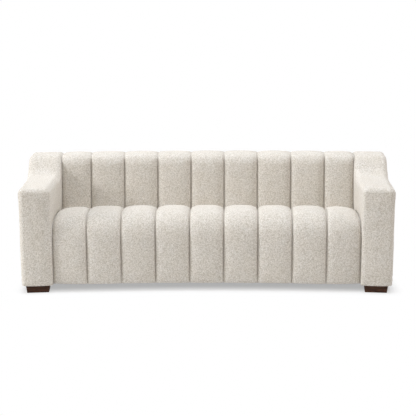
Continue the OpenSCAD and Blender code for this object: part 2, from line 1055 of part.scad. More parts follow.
function back_ring(q) =
    let (
        rise = crown * channel_rise(q),
        outer = concat(
            [for (s = back_row_shares)
                let (
                    z = back_hem + (back_face_top - back_hem) * s,
                    out = rise * (s == 0 ? back_low_crown_share : 1))
                [back_l(z) - out * cos(back_lean), z + out * sin(back_lean) * (s == 0 ? 0 : 1)]],
            [[back_l(back_face_top) - rise * cos(back_lean), back_face_top + rise * sin(back_lean)]],
            [for (s = back_round_shares)
                let (
                    p = back_lean + (90 - back_lean) * s,
                    reach = back_front_r + rise * (1 - s * (1 - top_crown_share)))
                [back_corner_l - reach * cos(p), back_top - back_front_r + reach * sin(p)]],
            [for (p = back_rear_angles)
                let (reach = back_rear_r + rise * top_crown_share * cos(p))
                [body_d - back_rear_r + back_rear_r * sin(p), back_top - back_rear_r + reach * cos(p)]],
            [[body_d, rear_hem]]),
        hollow = [
            [panel_back_l, rear_hem],
            [panel_back_l, back_top - back_fill],
            [lean_depth(back_top - back_fill, back_fill), back_top - back_fill],
            [lean_depth(back_hem, back_fill), back_hem]])
    [for (p = concat(outer, hollow)) curve_point(channel_a(q, p[0]), p[0], p[1])];

back_joins = [16, 16, 16, 16, 15, 15, 15, 15, 15, 14, 14, 13, 13];

module back_cover() {
    color("#dcd5c8")
    ring_skin([for (q = ring_places) back_ring(q)], back_joins);
}

module outer_back_panel() {
    color("#b48f63")
    intersection() {
        back_board(frame_back_l + fit, frame_z, back_panel_t, rear_hem - 2 * fit - frame_z);
        arm_bay(pad_face);
    }
}

module outer_back_cover() {
    color("#dcd5c8")
    intersection() {
        back_board(body_d - outer_cover_t, foot_h, outer_cover_t, rear_hem - fit - foot_h);
        arm_bay(0);
    }
}

// Seat springs and deck

spring_z = rail_top_h + clip_h / 2 - wire_d / 2;
spring_turn_r = spring_pitch / 2;
spring_turn_steps = 3;
clip_l = 24;
clip_w = 40;
clip_wall = 3;
clip_front_l = front_rail_l + (rail_t - clip_l) / 2;
clip_rear_l = rear_rail_l + (rail_t - clip_l) / 2;
spring_start = clip_front_l + clip_wall + wire_d;
spring_end = clip_rear_l + clip_l - clip_wall - wire_d;
wave_count = floor((spring_end - spring_start - wire_d) / spring_pitch);
wave_pitch = (spring_end - spring_start) / wave_count;

function spring_a(i) = ((i + 0.5) / spring_count * 2 - 1) * arm_line_a(front_rail_l);

// One edge of the wire: turns of alternate sides, joined by straight bars
function spring_edge(off) = [
    for (k = [0:wave_count - 1], s = [0:spring_turn_steps])
    let (
        p = 180 * s / spring_turn_steps - 90,
        side = k % 2 == 0 ? 1 : -1,
        r = wave_pitch / 2 + off * side)
    [side * (spring_w / 2 - wave_pitch / 2 + r * cos(p)),
     spring_start + wave_pitch * (k + 0.5) + r * sin(p)]];

module seat_springs() {
    color("#8d9094")
    for (i = [0:spring_count - 1])
        at_angle(spring_a(i))
            translate([0, 0, spring_z])
                linear_extrude(wire_d)
                    polygon(concat(spring_edge(wire_d / 2), backwards(spring_edge(-wire_d / 2))));
}

// Clip that is open towards the seat, with the end bar of a spring in its fold
module spring_clip(l, dir) {
    slot = wire_d + 2 * fit;
    translate([-clip_w / 2, l + (dir < 0 ? clip_l : 0), rail_top_h])
        scale([1, dir, 1])
            upright([
                [0, 0],
                [clip_l, 0],
                [clip_l, clip_h / 2 - slot / 2],
                [clip_wall, clip_h / 2 - slot / 2],
                [clip_wall, clip_h / 2 + slot / 2],
                [clip_l, clip_h / 2 + slot / 2],
                [clip_l, clip_h],
                [0, clip_h]],
                clip_w);
}

module spring_clips() {
    color("#b9bcc0")
    for (i = [0:spring_count - 1])
        at_angle(spring_a(i)) {
            spring_clip(clip_front_l, 1);
            spring_clip(clip_rear_l, -1);
        }
}

tie_wire_d = 3;
tie_wire_fn = 8;
tie_shares = [0.25, 0.5, 0.75];

module tie_wires() {
    color("#8a7a5c")
    intersection() {
        swept(wide_a)
            for (s = tie_shares)
                translate([
                    spring_start + (spring_end - spring_start) * s,
                    spring_z + wire_d + fit + tie_wire_d / 2])
                    circle(d = tie_wire_d, $fn = tie_wire_fn);
        seat_bay(fit);
    }
}

module seat_deck() {
    color("#8c8a84")
    intersection() {
        swept(wide_a)
            translate([front_rail_l, deck_z])
                square([rib_l - fit - front_rail_l, deck_t]);
        seat_bay(fit);
    }
}

// Seams of the seat, and the hollow under its cover: front, nose and top
nose_z = seat_h - nose_h;
nose_steps = 4;
hollow_steps = 2;
nose_margin = 30;
hollow_nose_d = nose_d + nose_margin;

function hollow_points(inset) = [
    for (k = [0:hollow_steps])
    let (p = 90 * k / hollow_steps)
    [hollow_nose_d - (hollow_nose_d - front_fill - inset) * cos(p),
     foam_z + (foam_top + fit - inset - foam_z) * sin(p)]];

module seat_foam() {
    face = back_fill - fit;
    color("#e8dcae")
    intersection() {
        swept(wide_a)
            polygon(concat(
                hollow_points(fit),
                [[lean_depth(foam_top, face), foam_top],
                 [lean_depth(foam_z, face), foam_z]]));
        seat_bay(fit);
    }
}

// Seat: rows up the front, over the nose and back along the top, with the share of the crown
// and of the draw-back beside the arm that each row moves by
front_row_shares = [0, 0.18, 0.6, 1];
front_crown_shares = [0.35, 0.8, 1, 1];
front_edge_share = 0.75;
top_row_shares = [0.35, 0.7, 1];
top_edge_shares = [0.55, 0.3, 0.3];

function seat_ring(q) =
    let (
        rise = crown * channel_rise(q),
        drop = edge_drop * edge_share(q),
        front = [for (k = [0:len(front_row_shares) - 1])
            [drop * front_edge_share - rise * front_crown_shares[k],
             foot_h + (nose_z - foot_h) * front_row_shares[k]]],
        nose = [for (k = [1:nose_steps])
            let (p = 90 * k / nose_steps, out = rise - drop)
            [nose_d - (nose_d + out) * cos(p), nose_z + (nose_h + out) * sin(p)]],
        rear_l = back_l(crease_h + rise) - rise - fit,
        top = [for (k = [0:len(top_row_shares) - 1])
            [nose_d + (rear_l - nose_d) * top_row_shares[k],
             crease_h + seat_fall * (1 - pow(top_row_shares[k], 2)) + rise
                 - drop * top_edge_shares[k]]],
        low_rear = [back_l(back_hem) - rise - fit, foam_top + fit],
        hollow = backwards(concat([[front_fill, foot_h]], hollow_points(0))))
    [for (p = concat(front, nose, top, [low_rear], hollow)) curve_point(channel_a(q, p[0]), p[0], p[1])];

seat_joins = [15, 15, 15, 14, 14, 13, 13, 12, 12, 12, 12, 12];

module seat_cover() {
    color("#dcd5c8")
    ring_skin([for (q = ring_places) seat_ring(q)], seat_joins);
}

module dust_cover() {
    color("#2b2a28")
    difference() {
        intersection() {
            swept(wide_a)
                translate([front_rail_l, foot_h])
                    square([frame_back_l - front_rail_l, dust_t]);
            arm_bay(pad_face);
        }
        at_all_feet()
            cylinder(h = back_h, d = bolt_d + bolt_fit, $fn = round_fn);
    }
}

foot_front_left();
foot_front_right();
foot_rear_left();
foot_rear_right();
foot_center();
foot_glides();
foot_bolts();
foot_tee_nuts();
foot_block_front_left();
foot_block_front_right();
foot_block_rear_left();
foot_block_rear_right();
foot_block_center();
front_rail();
rear_rail();
side_rail_left();
side_rail_right();
stretcher_1();
stretcher_2();
stretcher_3();
stretcher_4();
arm_inner_panel_left();
arm_inner_panel_right();
arm_outer_panel_left();
arm_outer_panel_right();
arm_front_board_left();
arm_front_board_right();
arm_top_board_left();
arm_top_board_right();
arm_middle_post_left();
arm_middle_post_right();
arm_rear_post_left();
arm_rear_post_right();
arm_bolts();
arm_nuts();
arm_foam_left();
arm_foam_right();
arm_cover_left();
arm_cover_right();
back_rib_1();
back_rib_2();
back_rib_3();
back_rib_4();
back_rib_5();
back_top_board();
back_slat();
back_sill();
rib_screws();
back_webbing();
back_foam();
back_cover();
outer_back_panel();
outer_back_cover();
seat_springs();
spring_clips();
tie_wires();
seat_deck();
seat_foam();
seat_cover();
dust_cover();
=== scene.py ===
import json
import math

import bmesh
import bpy
import numpy as np
from mathutils import Matrix, Vector, noise
from mathutils.geometry import tessellate_polygon


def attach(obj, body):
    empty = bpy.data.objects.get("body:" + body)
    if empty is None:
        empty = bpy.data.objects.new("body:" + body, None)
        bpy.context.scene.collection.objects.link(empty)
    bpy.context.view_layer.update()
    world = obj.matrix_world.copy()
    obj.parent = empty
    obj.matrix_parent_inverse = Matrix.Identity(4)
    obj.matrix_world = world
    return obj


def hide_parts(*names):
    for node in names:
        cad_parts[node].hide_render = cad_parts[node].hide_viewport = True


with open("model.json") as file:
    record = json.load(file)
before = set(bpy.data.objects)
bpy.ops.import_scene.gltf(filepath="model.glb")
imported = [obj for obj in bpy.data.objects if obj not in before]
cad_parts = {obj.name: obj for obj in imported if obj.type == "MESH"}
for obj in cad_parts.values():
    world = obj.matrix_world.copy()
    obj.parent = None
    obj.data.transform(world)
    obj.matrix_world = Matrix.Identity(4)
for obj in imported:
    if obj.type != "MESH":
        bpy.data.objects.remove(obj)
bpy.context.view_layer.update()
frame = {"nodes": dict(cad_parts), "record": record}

nodes = frame["nodes"]
scene = bpy.context.scene

# layout of the sofa, in metres
sofa = {
    "frontWidth": 2.29,      # over the fronts of the arms
    "depth": 0.85,           # at the middle, seat seams to outer back
    "backHeight": 0.780,
    "curveRadius": 9.5,      # the seat front follows this
    "footHeight": 0.050,
    "channels": 9,
    "crown": 0.020,          # rise of a channel over its seams
    "armWidth": 0.192,
    "armHeight": 0.658,
    "armDrop": 0.002,        # top of the arms below the top of the back
    "armInTurn": math.radians(3.0),
    "armOutTurn": math.radians(5.4),
    "armEdge": 0.035,
    "seatDepth": 0.555,
    "seatHeight": 0.475,     # seams, at the top of the nose
    "seatFall": 0.055,       # from there to the crease at the back
    "noseDepth": 0.140,
    "noseHeight": 0.140,
    "edgeDrop": 0.040,       # the outer channels sink this far beside the arms
    "backLean": math.radians(14.0),
    "backFill": 0.030,       # padding over the foam of the back
    "backFoam": 0.050,
    "ribFace": 0.6365,       # depth of the upright fronts of the ribs
    "fibreboard": 0.003,
    "outerCover": 0.008,
    "hemDrop": 0.040,
    "clearance": 0.0003,
}
clearance = sofa["clearance"]
seatWidth = sofa["frontWidth"] - 2 * sofa["armWidth"]
channelWidth = seatWidth / sofa["channels"]
halfCount = sofa["channels"] / 2
armAngle = math.asin((seatWidth / 2 + sofa["armWidth"] / 2) / sofa["curveRadius"])
inLean = armAngle - sofa["armInTurn"]
outLean = armAngle - sofa["armOutTurn"]
armReach = (sofa["curveRadius"] * math.cos(armAngle)
            - (sofa["armWidth"] / 2 - sofa["armEdge"]) * math.sin(armAngle))
centerY = -(armReach + sofa["curveRadius"] + sofa["depth"]) / 2
topCrownShare = 0.4
creaseHeight = sofa["seatHeight"] - sofa["seatFall"]
backTop = sofa["backHeight"] - sofa["crown"] * topCrownShare
rearHem = backTop - sofa["hemDrop"]
armBackHeight = sofa["backHeight"] - sofa["armDrop"]
foamLow = 0.2832           # underside of the seat fill, on the deck
backHem = 0.3583           # where the inside back tucks in behind the seat
wallFill = 0.045           # fill on the front rail
foamFace = sofa["backFill"] + sofa["backFoam"]
panelFace = sofa["depth"] - sofa["outerCover"] - clearance
frameBack = panelFace - sofa["fibreboard"] - clearance


def curvePoint(angle, depth, z):
    angle, depth, z = np.broadcast_arrays(angle, depth, z)
    reach = sofa["curveRadius"] + depth
    return np.stack([reach * np.sin(angle), centerY + reach * np.cos(angle), z], axis=-1)


def innerU(v, inset=0.0):
    return -sofa["armWidth"] / 2 - v * np.tan(inLean) + inset


def outerU(v, inset=0.0):
    return sofa["armWidth"] / 2 - v * np.tan(outLean) - inset


def armPoint(u, v, z, side):
    u, v, z = np.broadcast_arrays(u, v, z)
    r = sofa["curveRadius"]
    x = r * math.sin(armAngle) + u * math.cos(armAngle) + v * math.sin(armAngle)
    y = centerY + r * math.cos(armAngle) - u * math.sin(armAngle) + v * math.cos(armAngle)
    return np.stack([side * x, y, z], axis=-1)


# angle at which the curve at a depth meets a line that leaves the front of an arm at a place and a turn
def meetingAngle(depth, place, turn):
    start = armPoint(place, 0, 0, 1)[:2] - np.array([0, centerY])
    run = np.array([math.sin(turn), math.cos(turn)])
    b = start @ run
    k = np.sqrt(b * b + (sofa["curveRadius"] + depth) ** 2 - start @ start) - b
    return np.arctan2(start[0] + k * run[0], start[1] + k * run[1])


def armLineAngle(depth):
    return meetingAngle(depth, innerU(0, -clearance), sofa["armInTurn"])


def outerLineAngle(depth, inset=0.0):
    return meetingAngle(depth, outerU(0, inset), sofa["armOutTurn"])


def channelAngle(q, depth):
    seam = halfCount - 1
    step = channelWidth / sofa["curveRadius"]
    past = np.abs(q) - seam
    outside = np.sign(q) * (seam * step + past * (armLineAngle(depth) - seam * step))
    return np.where(past <= 0, q * step, outside)


def backDepth(z):
    return sofa["seatDepth"] + (z - creaseHeight) * math.tan(sofa["backLean"])


def behindBack(z, thickness):
    return backDepth(z) + thickness / math.cos(sofa["backLean"])


# height at which a layer behind the inside back meets an upright plane
def kneeHeight(depth, thickness):
    ahead = depth - sofa["seatDepth"] - thickness / math.cos(sofa["backLean"])
    return creaseHeight + ahead / math.tan(sofa["backLean"])


# how far a rounded edge falls away at a distance from its end
def edgeFall(away, radius):
    return radius - np.sqrt(radius ** 2 - np.maximum(radius - away, 0) ** 2)


# shader helpers

def linear(hexCode):
    values = []
    for i in (0, 2, 4):
        c = int(hexCode[i:i + 2], 16) / 255
        values.append(c / 12.92 if c <= 0.04045 else ((c + 0.055) / 1.055) ** 2.4)
    return (*values, 1.0)


def perMetre(millimetres):
    return 1000.0 / millimetres


# sets sockets to values, or links them from a socket or from the first output of a node
def feed(tree, node, inputs):
    for key, value in inputs.items():
        if isinstance(value, bpy.types.Node):
            value = value.outputs[0]
        if isinstance(value, bpy.types.NodeSocket):
            tree.links.new(value, node.inputs[key])
        else:
            node.inputs[key].default_value = value


def addNode(tree, kind, inputs=None, **settings):
    node = tree.nodes.new(kind)
    for key, value in settings.items():
        setattr(node, key, value)
    feed(tree, node, inputs or {})
    return node


def startMaterial(name, shaderSettings):
    material = bpy.data.materials.new(name)
    material.use_nodes = True
    tree = material.node_tree
    tree.nodes.clear()
    shader = addNode(tree, "ShaderNodeBsdfPrincipled", shaderSettings)
    addNode(tree, "ShaderNodeOutputMaterial", {"Surface": shader})
    coords = addNode(tree, "ShaderNodeTexCoord").outputs["Object"]
    return material, tree, shader, coords


# mixes two colours, and lays them and a bump on the shader
def dress(tree, shader, blend, colours, height, strength, distance):
    colour = addNode(tree, "ShaderNodeMix", {
        "Factor": blend, 6: linear(colours[0]), 7: linear(colours[1])}, data_type="RGBA")
    bump = addNode(tree, "ShaderNodeBump", {"Height": height, "Strength": strength, "Distance": distance})
    feed(tree, shader, {"Base Color": colour.outputs[2], "Normal": bump})


# boucle, looped wool and cotton yarn: soft knobbly curls with painted shade in the hollows between them, no
# shine, a pale halo at grazing angles
boucleLook = {
    "curl": 6.0,          # mm across one loop, half as wide again as real so that it shows at this size
    "tuft": 9.0,          # mm, knots where loops bunch up
    "yarn": 1.3,          # mm, thickness of the yarn
    "nap": 90.0,          # mm, patches where the pile lies another way
    "light": "E3DDD4",
    # the shade colour is painted shade, laid in the hollows between the curls
    "shade": "B5AC9D",
    "warm": "DCD4C8",
    "cool": "D5D1CA",
}


def makeBoucle(name, look):
    material, tree, shader, coords = startMaterial(name, {
        "Roughness": 0.92, "Specular IOR Level": 0.18, "Sheen Weight": 0.35, "Sheen Roughness": 0.45,
        "Sheen Tint": linear("F4EFE6")})
    drift = addNode(tree, "ShaderNodeTexNoise", {
        "Vector": coords, "Scale": perMetre(look["curl"] * 1.7), "Detail": 2.0})
    centred = addNode(tree, "ShaderNodeVectorMath", {
        0: drift.outputs["Color"], 1: (0.5, 0.5, 0.5)}, operation="SUBTRACT")
    curledPlace = addNode(tree, "ShaderNodeVectorMath", {
        0: centred, 1: (look["curl"] / 1000 * 1.6,) * 3, 2: coords}, operation="MULTIPLY_ADD")
    curls = addNode(tree, "ShaderNodeTexVoronoi", {
        "Vector": curledPlace, "Scale": perMetre(look["curl"]), "Smoothness": 0.35}, feature="SMOOTH_F1")
    strands = addNode(tree, "ShaderNodeTexNoise", {
        "Vector": curledPlace, "Scale": perMetre(look["yarn"] * 2), "Detail": 3.0, "Roughness": 0.6})
    nap = addNode(tree, "ShaderNodeTexNoise", {
        "Vector": coords, "Scale": perMetre(look["nap"]), "Detail": 2.0})
    tufts = addNode(tree, "ShaderNodeTexNoise", {
        "Vector": coords, "Scale": perMetre(look["tuft"]), "Detail": 3.0, "Roughness": 0.65})
    # painted shade: how far the colour turns to the shade colour, most in the hollows between the curls, more
    # where the tufts bunch and less between them
    hollow = addNode(tree, "ShaderNodeMapRange", {
        "Value": curls, "From Min": 0.22, "From Max": 0.75, "To Max": 0.75},
        interpolation_type="SMOOTHSTEP")
    bunch = addNode(tree, "ShaderNodeMapRange", {
        "Value": tufts, "From Min": 0.36, "From Max": 0.64, "To Min": -0.17, "To Max": 0.27})
    depth = addNode(tree, "ShaderNodeMath", {0: hollow, 1: bunch}, operation="ADD", use_clamp=True)
    tint = addNode(tree, "ShaderNodeMapRange", {
        "Value": tufts.outputs["Color"], "From Min": 0.4, "From Max": 0.6})
    yarns = addNode(tree, "ShaderNodeMix", {
        "Factor": tint, 6: linear(look["light"]), 7: linear(look["cool"])}, data_type="RGBA")
    napShift = addNode(tree, "ShaderNodeMapRange", {
        "Value": nap, "From Min": 0.35, "From Max": 0.65, "To Max": 0.5})
    ground = addNode(tree, "ShaderNodeMix", {
        "Factor": napShift, 6: yarns.outputs[2], 7: linear(look["warm"])}, data_type="RGBA")
    # painted shade: the ground colour darkens towards the shade colour in the hollows between the curls
    colour = addNode(tree, "ShaderNodeMix", {
        "Factor": depth, 6: ground.outputs[2], 7: linear(look["shade"])}, data_type="RGBA")
    curlHeight = addNode(tree, "ShaderNodeMath", {0: 1.0, 1: curls}, operation="SUBTRACT")
    curlBump = addNode(tree, "ShaderNodeBump", {"Height": curlHeight, "Strength": 0.75, "Distance": 0.0022})
    yarnBump = addNode(tree, "ShaderNodeBump", {
        "Height": strands, "Strength": 0.5, "Distance": 0.0008, "Normal": curlBump})
    feed(tree, shader, {"Base Color": colour.outputs[2], "Normal": yarnBump})
    return material


# grain that runs along one axis, with pores
def makeWood(name, look):
    material, tree, shader, coords = startMaterial(name, {
        "Roughness": look["roughness"], "Specular IOR Level": look["specular"], "Coat Weight": look["coat"],
        "Coat Roughness": 0.3})
    squeeze = [1.0, 1.0, 1.0]
    squeeze[look["axis"]] = 0.08
    along = addNode(tree, "ShaderNodeMapping", {"Vector": coords, "Scale": squeeze})
    rings = addNode(tree, "ShaderNodeTexNoise", {
        "Vector": along, "Scale": perMetre(look["grain"]), "Detail": 4.0, "Distortion": 0.6})
    pores = addNode(tree, "ShaderNodeTexNoise", {
        "Vector": along, "Scale": perMetre(look["grain"] / 6), "Detail": 2.0})
    blend = addNode(tree, "ShaderNodeMapRange", {
        "Value": rings, "From Min": 0.35, "From Max": 0.68}, interpolation_type="SMOOTHSTEP")
    gloss = addNode(tree, "ShaderNodeMapRange", {
        "Value": rings, "To Min": look["roughness"] - 0.08, "To Max": look["roughness"] + 0.1})
    feed(tree, shader, {"Roughness": gloss})
    dress(tree, shader, blend, (look["light"], look["dark"]), pores, 0.25, 0.0004)
    return material


# plain cloth from two crossed threads
def makeWeave(name, look):
    material, tree, shader, coords = startMaterial(name, {
        "Roughness": 0.9, "Specular IOR Level": 0.2, "Sheen Weight": 0.1})
    threads = []
    for direction in ("X", "Y"):
        wave = addNode(tree, "ShaderNodeTexWave", {
            "Vector": coords, "Scale": perMetre(look["thread"]) / (2 * math.pi), "Distortion": 0.6,
            "Detail": 1.0}, bands_direction=direction)
        threads.append(wave.outputs["Fac"])
    crossing = addNode(tree, "ShaderNodeMath", {0: threads[0], 1: threads[1]}, operation="MAXIMUM")
    fibres = addNode(tree, "ShaderNodeTexNoise", {
        "Vector": coords, "Scale": perMetre(look["thread"] * 8), "Detail": 3.0})
    mixed = addNode(tree, "ShaderNodeMath", {0: crossing, 1: fibres}, operation="MULTIPLY")
    dress(tree, shader, mixed, (look["dark"], look["light"]), crossing, 0.5, look["thread"] / 2000)
    return material


# fibreboard, plated steel and other stuff with a random grain
def makeSpeckled(name, look):
    material, tree, shader, coords = startMaterial(name, {
        "Roughness": look["roughness"], "Metallic": look.get("metallic", 0.0)})
    cells = addNode(tree, "ShaderNodeTexNoise", {
        "Vector": coords, "Scale": perMetre(look["grain"]), "Detail": 4.0, "Roughness": 0.65})
    blotches = addNode(tree, "ShaderNodeTexNoise", {
        "Vector": coords, "Scale": perMetre(look["grain"] * 14), "Detail": 2.0})
    both = addNode(tree, "ShaderNodeMath", {0: cells, 1: blotches}, operation="MULTIPLY")
    spread = addNode(tree, "ShaderNodeMapRange", {"Value": both, "From Min": 0.12, "From Max": 0.4})
    dress(tree, shader, spread, (look["dark"], look["light"]), cells, look["bump"], look["grain"] / 2000)
    return material


boucle = makeBoucle("oatmeal boucle upholstery cloth", boucleLook)
# solid beech stained espresso under satin lacquer: near-black brown, faint grain, soft glints on the edges
footWood = makeWood("beech stained espresso, satin lacquer", {
    "light": "4A2B16", "dark": "2A160A", "grain": 9.0, "axis": 0,
    "roughness": 0.55, "coat": 0.04, "specular": 0.2})
# kiln-dried poplar, planed and left bare: dull pale brown
frameWood = makeWood("planed poplar frame wood", {
    "light": "D0B184", "dark": "B08D5E", "grain": 14.0, "axis": 2,
    "roughness": 0.62, "coat": 0.0, "specular": 0.4})
# birch plywood: flat pale face with long soft figure
plywood = makeWood("birch plywood", {
    "light": "DDC59A", "dark": "C4A472", "grain": 26.0, "axis": 0,
    "roughness": 0.55, "coat": 0.0, "specular": 0.4})
# hard-pressed fibreboard: dense brown felted fibres
fibreboard = makeSpeckled("pressed fibreboard", {
    "light": "A98558", "dark": "7E5D38", "grain": 1.2, "roughness": 0.7, "bump": 0.3})
# bright zinc on pressed steel: cool grey with a mottled bloom
zincSteel = makeSpeckled("zinc plated steel", {
    "light": "C3C6C9", "dark": "8E9296", "grain": 0.8, "roughness": 0.35, "metallic": 1.0, "bump": 0.1})
# oil-tempered spring wire: dark blue-grey drawn steel
springSteel = makeSpeckled("oil tempered spring wire", {
    "light": "6F7377", "dark": "3C3F43", "grain": 0.6, "roughness": 0.38, "metallic": 1.0, "bump": 0.15})
# paper-wrapped tie wire: dull brown kraft paper twisted over steel
tieWire = makeSpeckled("paper wrapped tie wire", {
    "light": "9A845F", "dark": "6B5940", "grain": 0.7, "roughness": 0.85, "bump": 0.4})
# moulded nylon glide: off-white, waxy, a little scuffed
glideNylon = makeSpeckled("moulded nylon glide", {
    "light": "DAD7CE", "dark": "B9B4A8", "grain": 0.9, "roughness": 0.45, "bump": 0.12})
# black spun-bonded cambric: thin, matt, faintly gridded
dustCloth = makeWeave("black spunbonded cambric", {"light": "3A3937", "dark": "1C1B1A", "thread": 1.6})
# jute back webbing: coarse brown weave
webbingCloth = makeWeave("jute webbing", {"light": "A88F66", "dark": "5F4D33", "thread": 2.4})
# calico deck cloth over the springs: grey, plain weave
deckCloth = makeWeave("grey calico deck cloth", {"light": "A9A69E", "dark": "77746D", "thread": 1.1})
# spun polyester sewing thread, dyed to the boucle
threadPolyester = makeSpeckled("spun polyester thread", {
    "light": "DDD4C6", "dark": "BFB4A3", "grain": 0.4, "roughness": 0.7, "bump": 0.2})
print("materials ready")


# stage, lights and camera

studio = {
    "floorSize": 36.0,
    "floorColour": "F2F2F2",
    "paperGlow": 0.42,            # share of plain white in the floor, so that the shadow stays pale
    "shadowFront": (-0.10, 0.14), # depths behind the seat front where the floor is white, and is paper
    "shadowRear": (0.86, 1.05),   # depths where it starts to turn white again, and is white
    "shadowSide": (1.13, 1.24),   # and the same out from the middle
    "worldStrength": 0.40,
    "worldTint": (1.06, 1.0, 0.90),
    "lamps": [
        # name, place, target, size, watts, tint
        ("leftSoftbox", (-9.0, -2.0, 3.5), (0.0, 0.0, 0.5), 2.4, 539.0, (0.98, 1.0, 1.05)),
        ("rightSoftbox", (9.0, -3.0, 3.5), (0.0, 0.0, 0.5), 2.4, 78.0, (1.12, 1.0, 1.0)),
        ("overheadSoftbox", (0.0, 0.2, 7.0), (0.0, 0.0, 0.4), 6.0, 464.0, (0.925, 1.0, 1.13)),
    ],
}


def linkObject(name, data):
    obj = bpy.data.objects.new(name, data)
    scene.collection.objects.link(obj)
    return obj


# one for the rays that show the background itself, in the picture or in a reflection
def cameraOrBounce(tree):
    path = addNode(tree, "ShaderNodeLightPath")
    seen = addNode(tree, "ShaderNodeMath", {
        0: path.outputs["Is Camera Ray"], 1: path.outputs["Is Glossy Ray"]}, operation="MAXIMUM")
    return addNode(tree, "ShaderNodeMath", {
        0: seen, 1: path.outputs["Is Transmission Ray"]}, operation="MAXIMUM").outputs["Value"]


def buildStage():
    half = studio["floorSize"] / 2
    mesh = bpy.data.meshes.new("studioFloor")
    corners = [(-half, -half, 0), (half, -half, 0), (half, half, 0), (-half, half, 0)]
    mesh.from_pydata(corners, [], [(0, 1, 2, 3)])
    floor = linkObject("studioFloor", mesh)
    material = bpy.data.materials.new("matt white studio floor")
    material.use_nodes = True
    tree = material.node_tree
    tree.nodes.clear()
    coords = addNode(tree, "ShaderNodeTexCoord").outputs["Object"]
    # the shadow lies under the sofa only, and fades out towards its curved front, its rear and its sides
    reach = addNode(tree, "ShaderNodeVectorMath", {0: coords, 1: (0, centerY, 0)}, operation="DISTANCE")
    across = addNode(tree, "ShaderNodeSeparateXYZ", {"Vector": coords})
    aside = addNode(tree, "ShaderNodeMath", {0: across.outputs["X"]}, operation="ABSOLUTE")
    fades = (
        # distance, where it counts from, where the fade starts and ends, shares of paper there
        (reach.outputs["Value"], sofa["curveRadius"], studio["shadowFront"], (0.0, 1.0)),
        (reach.outputs["Value"], sofa["curveRadius"], studio["shadowRear"], (1.0, 0.0)),
        (aside, 0.0, studio["shadowSide"], (1.0, 0.0)),
    )
    inside = 1.0
    for distance, origin, (start, end), (first, last) in fades:
        fade = addNode(tree, "ShaderNodeMapRange", {
            "Value": distance, "From Min": origin + start, "From Max": origin + end,
            "To Min": first, "To Max": last}, interpolation_type="SMOOTHSTEP")
        inside = addNode(tree, "ShaderNodeMath", {0: inside, 1: fade}, operation="MULTIPLY")
    pale = addNode(tree, "ShaderNodeMapRange", {
        "Value": inside, "To Min": 1.0, "To Max": studio["paperGlow"]})
    share = addNode(tree, "ShaderNodeMath", {0: pale, 1: cameraOrBounce(tree)}, operation="MULTIPLY")
    paper = addNode(tree, "ShaderNodeBsdfDiffuse", {"Color": linear(studio["floorColour"])})
    white = addNode(tree, "ShaderNodeEmission", {"Color": (1, 1, 1, 1), "Strength": 1.0})
    mixed = addNode(tree, "ShaderNodeMixShader", {0: share, 1: paper, 2: white})
    addNode(tree, "ShaderNodeOutputMaterial", {"Surface": mixed})
    mesh.materials.append(material)


def buildLights():
    world = bpy.data.worlds.new("plain studio")
    world.use_nodes = True
    tree = world.node_tree
    tree.nodes.clear()
    soft = addNode(tree, "ShaderNodeBackground", {
        "Color": (*studio["worldTint"], 1), "Strength": studio["worldStrength"]})
    white = addNode(tree, "ShaderNodeBackground", {"Color": (1, 1, 1, 1), "Strength": 1.0})
    mixed = addNode(tree, "ShaderNodeMixShader", {0: cameraOrBounce(tree), 1: soft, 2: white})
    addNode(tree, "ShaderNodeOutputWorld", {"Surface": mixed})
    scene.world = world
    for name, place, target, size, watts, tint in studio["lamps"]:
        light = bpy.data.lights.new(name, "AREA")
        light.shape = "DISK"
        light.size = size
        light.energy = watts
        light.color = tint
        lamp = linkObject(name, light)
        lamp.location = place
        lamp.rotation_euler = (Vector(target) - Vector(place)).to_track_quat("-Z", "Y").to_euler()


# camera that matches the photograph, a square frame
shot = {
    "place": (0.0796, -5.6927, 1.5589),
    "focalPixels": 879.35,
    "framePixels": 416,
    "sensor": 36.0,        # mm
    "pitch": 0.1918,       # radians down
    "yaw": 0.0131,         # radians to the left
    "roll": -0.0037,
}


def buildCamera():
    data = bpy.data.cameras.new("camera")
    data.sensor_width = shot["sensor"]
    data.lens = shot["focalPixels"] / shot["framePixels"] * shot["sensor"]
    camera = linkObject("camera", data)
    cosP, sinP = math.cos(shot["pitch"]), math.sin(shot["pitch"])
    cosY, sinY = math.cos(shot["yaw"]), math.sin(shot["yaw"])
    cosR, sinR = math.cos(shot["roll"]), math.sin(shot["roll"])
    forward = Vector((-sinY * cosP, cosY * cosP, -sinP))
    right = Vector((cosY, sinY, 0))
    up = Vector((-sinY * sinP, cosY * sinP, cosP))
    rolledRight = right * cosR + up * sinR
    rolledUp = up * cosR - right * sinR
    turn = Matrix((rolledRight, rolledUp, -forward)).transposed().to_4x4()
    camera.matrix_world = Matrix.Translation(Vector(shot["place"])) @ turn
    scene.camera = camera


buildStage()
buildLights()
buildCamera()
scene.view_settings.view_transform = "Standard"
print("stage, lights and camera ready")


# mesh helpers

def gridQuads(rings, rows):
    i, j = np.meshgrid(np.arange(rings - 1), np.arange(rows - 1), indexing="ij")
    a = (i * rows + j).ravel()
    return np.stack([a, a + rows, a + rows + 1, a + 1], axis=1)


def newMesh(name, verts, faces):
    mesh = bpy.data.meshes.new(name)
    mesh.from_pydata([tuple(p) for p in verts], [], [tuple(int(k) for k in f) for f in faces])
    return mesh


def newObject(name, verts, faces, material):
    mesh = newMesh(name, verts, faces)
    mesh.materials.append(material)
    mesh.polygons.foreach_set("use_smooth", np.ones(len(mesh.polygons), bool))
    return linkObject(name, mesh)


def settle(piece, slotName, *replaced):
    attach(piece, "root")
    if replaced:
        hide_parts(*replaced)


def tidyMesh(obj, weld=1e-5):
    work = bmesh.new()
    work.from_mesh(obj.data)
    bmesh.ops.remove_doubles(work, verts=work.verts, dist=weld)
    bmesh.ops.dissolve_degenerate(work, edges=work.edges, dist=weld / 10)
    bmesh.ops.recalc_face_normals(work, faces=work.faces)
    work.to_mesh(obj.data)
    work.free()
    obj.data.update()


